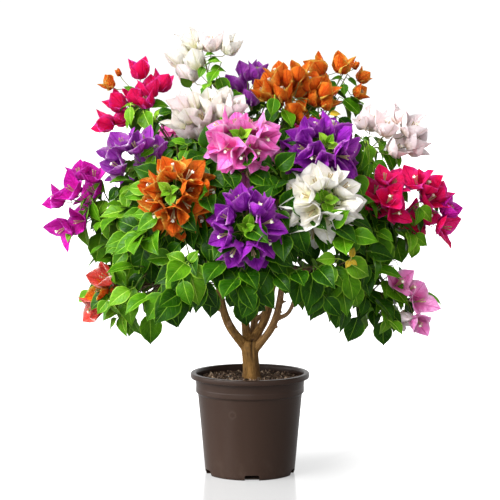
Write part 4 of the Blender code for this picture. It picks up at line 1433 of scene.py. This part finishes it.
class Grown:
    """What the crown has grown so far, so that a new piece can be tried against its neighbours."""

    def __init__(self):
        self.cells = {}

    def cell_of(self, middle):
        return tuple(int(c // CELL) for c in middle)

    def near(self, middle, reach):
        x, y, z = self.cell_of(middle)
        for dx in (-1, 0, 1):
            for dy in (-1, 0, 1):
                for dz in (-1, 0, 1):
                    for other in self.cells.get((x + dx, y + dy, z + dz), ()):
                        if (other[1] - middle).length < reach + other[2]:
                            yield other[0]

    def add(self, tree, middle, reach):
        self.cells.setdefault(self.cell_of(middle), []).append((tree, middle, reach))

    def free(self, tree, middle, reach):
        return not any(other.overlap(tree) for other in self.near(middle, reach))


grown = Grown()
open_air = Grown()

FUNNEL_FACES = [(0, 2, 1), (0, 3, 2), (0, 1, 3)]
FUNNEL_FACES += [(1, 2, 5), (2, 5, 4), (2, 3, 6), (3, 6, 5), (3, 1, 4), (1, 4, 6)]


def rough_flower(root, way, turn, size):
    """A small funnel in the place of a flower, only for telling whether it fits."""
    throat, tips = [], []
    for k in range(3):
        out = off_at(way, turn + 2 * math.pi * k / 3)
        throat.append(root + out * 0.003 * size)
        tips.append(root + (way * 0.50 + out * 0.30) * BRACT_LENGTH * size)
    return [root - way * FLOWER_STALK * 0.5 * size, *throat, *tips]


def add_flower(heap, stalk, size, openness, rng, must=False):
    """One flower at the end of its stalk's path: three bracts and three tubes. It is left out where
    it doesn't fit, unless it must be there."""
    throat, way = stalk.points[-1], stalk.ways[-1]
    turn = rng.random() * 2.1
    tree, middle = solid(rough_flower(throat, way, turn, size), FUNNEL_FACES)
    reach = FLOWER_REACH * size
    if not must and not grown.free(tree, middle, reach):
        return False
    grown.add(tree, middle, reach)
    # No leaf grows in the open air in front of a flower
    ahead = throat + ((throat - HEART).normalized() * 0.6 + way * 0.4) * CLEAR_AHEAD
    open_air.add(*solid(rough_flower(ahead, way, turn, size), FUNNEL_FACES), reach)
    heap.add_tube(stalk, np.linspace(STALK_RADIUS, STALK_RADIUS * 1.5, len(stalk.points)), 1)
    starry = openness > 0.3 and rng.random() < STAR_CHANCE
    for k in range(3):
        out = off_at(way, turn + 2 * math.pi * k / 3)
        here = openness * (0.85 + 0.3 * rng.random())
        bract = bract_points(throat - way * 0.002, way, out, size, here, rng)
        heap.add(bract, BRACT, {"upper": 0, "under": 0})
        lean = (way + out * 0.14).normalized()
        tip = throat + lean * BRACT_LENGTH * TUBE_SHARE * size
        heap.add_tube(Path.straight(throat, tip), (0.0008, 0.0011), 3)
        if starry and k == 0:
            heap.add(star_points(tip + lean * 0.001, lean, size, rng.random()), STAR, {"star": 2})
    return True


def posy(heaps, path, facing, spray, rng):
    """Two rings of flowers round the young leaves at the twig's end."""
    turn = rng.random() * 2 * math.pi
    inner = round(spray.flowers * RING_SHARE)
    made = 0
    for lean, many, shift in zip(RING_LEANS, (inner, spray.flowers - inner), (0.0, 0.5)):
        for k in range(many):
            root, _ = path.at(1.0 - FORMS["posy"].depth * made / spray.flowers / path.length())
            shade = spray.colours[made % len(spray.colours)]
            made += 1
            angle = turn + 2 * math.pi * (k + shift) / many
            leaning = lean + RING_SWAY * (2 * rng.random() - 1)
            for attempt in range(POSY_TRIES):
                way = between(facing, off_at(facing, angle), leaning)
                size = (0.94 + 0.14 * rng.random()) * 0.96**attempt
                openness = OPEN_LEAST + (OPEN_MOST - OPEN_LEAST) * rng.random()
                stalk = Path.straight(root, root + way * FLOWER_STALK * size)
                if add_flower(heaps[shade], stalk, size, openness, rng):
                    break
                angle += 0.3


def strung(heaps, path, facing, spray, rng):
    """Flowers and buds that stand singly, each on a bent stalk from the nearest stretch of twig.
    Those high in the crown stay cupped and upright, and lower ones open towards the light."""
    high = min(1.0, max(0.0, (spray.place[2] / 1000 - CUPPED_FROM) / 0.1))
    most = OPEN_MOST - 0.55 * high
    for k, (across, up, size) in enumerate(spray.flowers):
        deep = SPRAY_DEPTH * (2 * rng.random() - 1)
        middle = metres(spray.place) + Vector((across / 1000, deep, up / 1000))
        far = (FLOWER_STALK + BRACT_LENGTH * FLOWER_MIDDLE) * size
        reach = 1.0 - FORMS[spray.form].depth / path.length()
        stands = [path.at(reach + (1.0 - reach) * step / 6) for step in range(7)]
        root, run = min(stands, key=lambda stand: abs((middle - stand[0]).length - far))
        off = middle - root
        up_and_lit = Vector((0, 0, 0.15 + 0.35 * high)) + LIGHT_SIDE * (0.5 - 0.25 * high)
        way = (off.normalized() * 0.8 + up_and_lit + facing * 0.2).normalized()
        throat = middle - way * min(BRACT_LENGTH * FLOWER_MIDDLE * size, off.length - LEAST_STALK)
        stalk = Path.swept(root, run * 0.5 + (throat - root).normalized(), throat, way, 4)
        openness = 0.0 if size < BUD_SIZE else OPEN_LEAST + (most - OPEN_LEAST) * rng.random()
        add_flower(heaps[spray.colours[k % len(spray.colours)]], stalk, size, openness, rng, True)


for name, growth in growths.items():
    shades = dict.fromkeys(shade for spray, _, _ in growth.sprays for shade in spray.colours)
    heaps = {shade: Heap() for shade in shades}
    for spray, path, facing in growth.sprays:
        arrange = posy if spray.form == "posy" else strung
        arrange(heaps, path, facing, spray, growth.rng)
    for shade, heap in heaps.items():
        stuff = [PAPER_STUFF[shade], STALK_STUFF, STAR_STUFF, TUBE_STUFF]
        flowers = heap.make(f"blossom_{name}_{shade}", stuff, math.radians(50))
        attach(flowers, "root")
        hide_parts("foliage_" + name)


# Leaves: single pointed ovals on short stalks, set round the twigs by turns. They are thin, folded
# a little along a pale midrib, with side veins and a pale edge. Young ones at the twigs' ends are
# small and yellow-green, older ones larger and deeper green, and those low in the crown hang. Their
# greens also carry painted light and shade: deeper inside the crown, low down, on its right and down
# its middle, and brighter on its lit left.
LEAF_BLADE = 0.062
LEAF_WIDTH = 0.73
LEAF_STALK = 0.013
LEAF_THICK = 0.0007
LEAF_STEP = 0.0098
FINE_LEAF_STEP = 0.0112
LOW_LEAF_STEP = 0.0165
SIDE_LEAF_STEP = 0.0340
SPRAY_LEAF_STEP = 0.010
LEAF_TRIES = 7
LEAF_LIFT = 0.11
LEAF_TO_LIGHT = 0.9
LEAF_SWING = math.radians(70)
LEAF_SHRINK = 0.96
MOST_HANG = 0.95
ROSETTE_LEAVES = 5
RIB_WIDTH = 0.035
LEAF_COLUMNS = (-1.0, -0.5, -RIB_WIDTH, RIB_WIDTH, 0.5, 1.0)
LEAF_OUTLINE = (
    (0.0, 0.0), (0.06, 0.46), (0.17, 0.82), (0.35, 1.0), (0.54, 0.90), (0.71, 0.59), (0.84, 0.27),
    (0.93, 0.085), (1.0, 0.0),
)
LEAF = blade_pattern([t for t, _ in LEAF_OUTLINE], LEAF_COLUMNS, (0.0,), rib=True)
LEAVES_FROM = 0.30
FINE_LEAVES_FROM = 0.25

# A leaf's greens: its blade, a lighter patch of it, and its veins and edge
Green = namedtuple("Green", "blade light vein")
# The deep, mid and bright greens also serve as painted shade and painted light round the crown
GREENS = {
    "deep": Green((0.0060, 0.034, 0.0008), (0.015, 0.066, 0.0014), (0.105, 0.230, 0.010)),
    "mid": Green((0.030, 0.114, 0.0018), (0.062, 0.186, 0.0035), (0.200, 0.380, 0.024)),
    "bright": Green((0.057, 0.170, 0.0040), (0.100, 0.248, 0.0080), (0.310, 0.480, 0.055)),
    "rust": Green((0.420, 0.270, 0.016), (0.560, 0.400, 0.034), (0.650, 0.500, 0.100)),
    "young": Green((0.160, 0.330, 0.014), (0.240, 0.440, 0.026), (0.420, 0.580, 0.120)),
}
TONES = list(GREENS)


def leaf_veins_group():
    """Patches of two greens, with the side veins and the edge of the blade a paler one."""
    tree, given, result = new_group("leaf_veins", dict.fromkeys(Green._fields, "Color"), BLADE_LOOKS)
    across, along, _ = map_place(tree)
    patches = spots(tree, object_place(tree), 42.0, 2.0)
    veins = vein_lines(tree, across, along, 6.0, 0.34, 0.10)
    veins = calc(tree, "MULTIPLY", veins, fade(tree, across, 0.55, 0.95, 1.0, 0.1))
    edge = fade(tree, across, 0.85, 0.97)
    blade = tint(tree, fade(tree, patches, 0.36, 0.66), given["blade"], given["light"])
    pale = calc(tree, "MAXIMUM", calc(tree, "MULTIPLY", veins, 0.15), calc(tree, "MULTIPLY", edge, 0.72))
    blade = tint(tree, pale, blade, given["vein"])
    gloss = fade(tree, patches, 0.3, 0.7, 0.24, 0.36)
    give(tree, result, {"Colour": blade, "Roughness": gloss, "Height": calc(tree, "MULTIPLY", veins, -1.0)})
    return tree


def pale_stuff(name, green):
    """The midrib and the stalk: the vein's colour all over, a little cloudy."""
    return soft_stuff(name, [0.75 * c for c in green.vein], green.vein, 0.4)


UNDERSIDE = soft_stuff("leaf_underside", (0.055, 0.135, 0.009), (0.095, 0.200, 0.015), 0.6)
LEAF_VEINS = leaf_veins_group()
LEAF_STUFF = []
for tone, green in GREENS.items():
    LEAF_STUFF.append(veined("leaf_" + tone, LEAF_VEINS, green, 0.0006, Specular_IOR_Level=0.065))
LEAF_STUFF += [pale_stuff("rib_" + tone, green) for tone, green in GREENS.items()]
LEAF_STUFF.append(UNDERSIDE)
KITE_FACES = [(0, 4, 1), (1, 4, 2), (2, 4, 3), (3, 4, 0), (1, 5, 0), (2, 5, 1), (3, 5, 2), (0, 5, 3)]


def rough_leaf(base, way, up, length):
    """A kite in the place of a leaf, only for telling whether it fits."""
    across = way.cross(up)
    half = length * LEAF_WIDTH * 0.40
    widest = base + way * length * 0.40
    return [
        base + way * 0.004,
        widest + (across + up * 0.2) * half,
        base + (way - up * 0.06) * length * 0.95,
        widest + (up * 0.2 - across) * half,
        widest + up * 0.0006,
        widest - up * 0.0006,
    ]


def leaf_points(base, way, up, length, rng):
    """A pointed oval: folded up along its midrib, bent down towards its tip, its edge a little wavy."""
    t = np.array([share for share, _ in LEAF_OUTLINE])
    half = np.array([wide for _, wide in LEAF_OUTLINE]) * length * LEAF_WIDTH / 2
    half *= 0.92 + 0.16 * rng.random()
    nod = 0.25 + 0.75 * rng.random()
    forward = length * np.sin(nod * t) / nod
    drop = length * (1 - np.cos(nod * t)) / nod
    fold, swell = 0.14 + 0.22 * rng.random(), 0.10 + 0.06 * rng.random()
    wave = 0.10 * np.sin(t * 8 + rng.random() * 6)
    columns = np.array(LEAF_COLUMNS)
    reach = np.abs(columns)
    body = fold * reach + swell * (1 - (2 * reach - 1) ** 2)
    rise = np.array([body + ripple * columns * reach**2 for ripple in wave])
    sideways = np.tile(columns * (1 - 0.05 * reach), (len(t), 1))
    return blade_grid(base, way, up, forward, -drop, half, LEAF_COLUMNS, (0.0,), sideways, rise, LEAF_THICK)


def add_leaf(heap, root, way, face, length, tone, planes, rng, must=False):
    """One leaf on its stalk. It is left out where it doesn't fit, unless it must be there."""
    way = way.normalized()
    across = way.cross(face).normalized()
    up = across.cross(way)
    stalk = LEAF_STALK * length / LEAF_BLADE
    base = root + way * stalk + up * stalk * 0.15
    points = rough_leaf(base, way, up, length)
    if not must and not (in_cell(points[:4], planes) and clear_of_wood(points)):
        return False
    shape = (*solid(points, KITE_FACES, 0.15), length * 0.5)
    if not must and not (grown.free(*shape) and open_air.free(*shape)):
        return False
    grown.add(*shape)
    number = TONES.index(tone)
    looks = {"upper": number, "rib": number + len(TONES), "under": 2 * len(TONES)}
    heap.add(leaf_points(base, way, up, length, rng), LEAF, looks)
    path = Path.swept(root, way + up * 0.3, base + way * 0.002, way, 2)
    heap.add_tube(path, (0.0009, 0.0007, 0.0006), number + len(TONES))
    return True


def leaf_lie(place, run, angle, hang, swing):
    """Which way a leaf points and faces: off the twig, out of the crown, and down, a little swung.
    In the crown's front half it also turns its face to the light there."""
    off = off_at(run, angle)
    out = (place - HEART).normalized()
    level = Vector((out.x, out.y, 0.0))
    way = off * 0.75 + level * 0.35 + out * 0.25 - Vector((0, 0, hang))
    swung = Quaternion((0, 0, 1), swing) @ level
    lit = LEAF_TO_LIGHT * max(0.0, 0.25 - out.y)
    face = swung * 0.9 + out * 0.3 + off * 0.15 + Vector((0, -lit, 0.55))
    return way.normalized(), face.normalized()


def tone_with_painted_light(place, share, rng):
    """Young and bright towards a twig's end and, as painted light, on the lit left; deeper, as painted
    shade, low down, inside the crown, on its right and down its middle."""
    out = place - HEART
    # Painted light and shade from the leaf's place in the crown; share is its youth, and chance its own tone
    light = 0.25 * share + 0.9 * (out.length / shell(out.normalized()) - 0.75) + 0.4 * out.z - 0.35 * out.x
    light += 0.50 * rng.random() - 0.58 * math.exp(-((out.x / 0.12) ** 2))
    if light > 1.02:
        return "young" if rng.random() < 0.3 else "bright"
    return "bright" if light > 0.82 else "mid" if light > 0.50 else "deep"


def leaf_up(heap, growth, path, first, last, size=1.0, step=LEAF_STEP, young=0.22):
    """Leaves at the golden angle along a stretch of twig. One that doesn't fit turns and lifts."""
    rng = growth.rng
    count = max(1, round(path.length() * (last - first) / step))
    turn = rng.random() * 2 * math.pi
    for k in range(count):
        place, run = path.at(last - (last - first) * k / count)
        youth = 1 - k / count
        height = (place - HEART).z
        hang = min(MOST_HANG, (0.98 - 1.2 * height) * (0.80 + 0.40 * rng.random()))
        swing = LEAF_SWING * (2 * rng.random() - 1)
        length = LEAF_BLADE * size * (0.84 + 0.28 * rng.random()) * (1.0 - young * youth)
        for attempt in range(LEAF_TRIES):
            angle = turn + k * GOLDEN + attempt * 2 * math.pi / LEAF_TRIES
            way, face = leaf_lie(place, run, angle, hang - attempt * LEAF_LIFT, swing)
            tone = tone_with_painted_light(place, youth, rng)
            if add_leaf(heap, place, way, face, length * LEAF_SHRINK**attempt, tone, growth.planes, rng):
                break


def rosette(heap, growth, shoot):
    """Small bright leaves round the tip of the shoot in a posy's middle."""
    rng = growth.rng
    run = shoot.ways[-1]
    turn = rng.random() * 2 * math.pi
    for k in range(ROSETTE_LEAVES):
        place, _ = shoot.at(1.0 - 0.5 * k / ROSETTE_LEAVES)
        lean = 0.25 + 0.75 * k / ROSETTE_LEAVES
        off = off_at(run, turn + k * GOLDEN)
        way = between(run, off, lean)
        length = LEAF_BLADE * (0.28 + 0.16 * k / ROSETTE_LEAVES)
        tone = "young" if rng.random() < 0.35 else "bright"
        add_leaf(heap, place, way, run * math.sin(lean) - off * math.cos(lean), length, tone, (), rng, True)


def drooping(heap, growth, tone, leaves, path):
    """Leaves that hang from a drooping twig, each to its own tip. Their faces look to the front, and
    up as well where they are high in the crown."""
    rng = growth.rng
    for share, *tip in leaves:
        root, _ = path.at(share)
        hang = metres(tip) - root
        length = hang.length / (1 + LEAF_STALK / LEAF_BLADE)
        upward = 0.45 + 2.5 * max(0.0, tip[2] / 1000 - 0.48) ** 0.5
        face = Vector((0.5 * (rng.random() - 0.5), -1.0, upward))
        add_leaf(heap, root, hang, face, length, tone, (), rng, True)


def leaf_step(name, usual):
    """Low masses carry fewer leaves, and the two at the sides fewest of all."""
    if name in ("left_low", "right_low"):
        return SIDE_LEAF_STEP
    return LOW_LEAF_STEP if name.endswith("low") else usual


# Drooping twigs and sprays get their leaves first, and the leafy twigs fill what room is left
leaf_heaps = {name: Heap() for name in growths}
for name, growth in growths.items():
    heap = leaf_heaps[name]
    for tone, leaves, path in growth.droops:
        drooping(heap, growth, tone, leaves, path)
    for shoot in growth.shoots:
        rosette(heap, growth, shoot)
    for spray, path, _ in growth.sprays:
        last = 0.92 if spray.form == "posy" else 0.80
        leaf_up(heap, growth, path, LEAVES_FROM, last, size=0.68, step=SPRAY_LEAF_STEP, young=0.45)
    for path in growth.spray_fine:
        leaf_up(heap, growth, path, FINE_LEAVES_FROM, 1.0, size=0.70, step=SPRAY_LEAF_STEP, young=0.30)
for name, growth in growths.items():
    heap = leaf_heaps[name]
    for path in growth.leafy:
        leaf_up(heap, growth, path, LEAVES_FROM, 1.0, step=leaf_step(name, LEAF_STEP))
    for path in growth.fine:
        leaf_up(heap, growth, path, FINE_LEAVES_FROM, 1.0, size=0.94, step=leaf_step(name, FINE_LEAF_STEP))
for name, heap in leaf_heaps.items():
    leaves = heap.make("leaves_" + name, LEAF_STUFF, math.radians(65))
    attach(leaves, "root")
    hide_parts("foliage_" + name)


# Studio: a grey table that glows to the camera alone, painted light that turns it white away from
# the pot, under one wide soft light from the upper left, with weaker ones from the front, the left
# and the right. The backdrop is lit up to plain white, and the room is dim. The camera looks down
# five degrees from three metres off.
CAMERA_BACK = 3.0
CAMERA_HEIGHT = 0.62
CAMERA_PITCH = math.radians(5.0)
SENSOR = 36.0
VIEW_WIDTH = 0.7917
FLOOR_SIZE = 60.0
FLOOR_GLOW = 1.1
FLOOR_DIM = 0.33
BACKDROP = 1.08
ROOM = 0.85
ROOM_SLANT = 0.48
WALL_SHARE = 0.45


def studio_floor():
    """A smooth grey sheet. To the camera alone it glows more and more behind, beside and far from the
    pot: painted light that hides the far shadows."""
    sheen = dict(Roughness=0.12, Specular_IOR_Level=0.3, Emission_Color=(1.0, 1.0, 1.0, 1.0))
    material, tree, shader = new_material("grey_floor_painted_white", Base_Color=(0.27, 0.27, 0.27, 1.0), **sheen)
    place = object_place(tree)
    parts = split(tree, place)
    off = put(tree, "ShaderNodeVectorMath", {0: place}, operation="LENGTH").outputs["Value"]
    behind = fade(tree, parts["Y"], 0.06, 0.50, FLOOR_DIM, 1.0)
    beside = fade(tree, calc(tree, "ABSOLUTE", parts["X"]), 0.10, 0.26, FLOOR_DIM, 0.6)
    far = fade(tree, off, 0.26, 0.50, FLOOR_DIM, 1.0)
    painted_glow = calc(tree, "MAXIMUM", calc(tree, "MAXIMUM", behind, beside), far)
    painted_glow = calc(tree, "MULTIPLY", painted_glow, FLOOR_GLOW)
    # Painted light, seen by the camera alone
    seen = tree.nodes.new("ShaderNodeLightPath").outputs["Is Camera Ray"]
    tree.links.new(calc(tree, "MULTIPLY", seen, painted_glow), shader.inputs["Emission Strength"])
    half = FLOOR_SIZE / 2
    corners = [(-half, -half, 0), (half, -half, 0), (half, half, 0), (-half, half, 0)]
    return new_piece("floor", corners, [(0, 1, 2, 3)], material)


def soft_sun(name, towards, spread, strength):
    """A light from far off, as wide as a softbox looks from the plant."""
    data = bpy.data.lights.new(name, "SUN")
    data.angle = math.radians(spread)
    data.energy = strength
    new_object(name, data).rotation_euler = Vector(towards).to_track_quat("-Z", "Y").to_euler()


studio_floor()
soft_sun("key", (0.80, 0.55, -0.85), 40, 5.8)
soft_sun("front", (0.40, 1.00, -0.50), 60, 1.5)
soft_sun("window", (1.0, 0.20, -0.30), 50, 1.5)
soft_sun("fill", (-0.60, 0.60, -0.45), 60, 0.32)

world = bpy.data.worlds.new("room")
world.use_nodes = True
lit = world.node_tree
ray = lit.nodes.new("ShaderNodeLightPath").outputs
look = split(lit, lit.nodes.new("ShaderNodeTexCoord").outputs["Generated"])
wall = calc(lit, "MULTIPLY", fade(lit, look["Y"], 0.10, 0.40), fade(lit, look["Z"], 0.35, 0.60, 1.0, 0.0))
room = calc(lit, "MULTIPLY_ADD", look["X"], -ROOM_SLANT, ROOM)
wall = calc(lit, "MULTIPLY", wall, calc(lit, "MAXIMUM", ray["Is Glossy Ray"], WALL_SHARE))
white = calc(lit, "MAXIMUM", ray["Is Camera Ray"], wall)
level = calc(lit, "MULTIPLY_ADD", white, calc(lit, "SUBTRACT", BACKDROP, room), room)
lit.nodes["Background"].inputs["Color"].default_value = (1.0, 1.0, 1.0, 1.0)
lit.links.new(level, lit.nodes["Background"].inputs["Strength"])
bpy.context.scene.world = world
bpy.context.scene.view_settings.view_transform = "Standard"

camera = new_object("camera", bpy.data.cameras.new("camera"))
camera.data.sensor_width = SENSOR
camera.data.lens = SENSOR * CAMERA_BACK / VIEW_WIDTH
camera.location = (0, -CAMERA_BACK, CAMERA_HEIGHT)
camera.rotation_euler = (math.radians(90) - CAMERA_PITCH, 0, 0)
bpy.context.scene.camera = camera
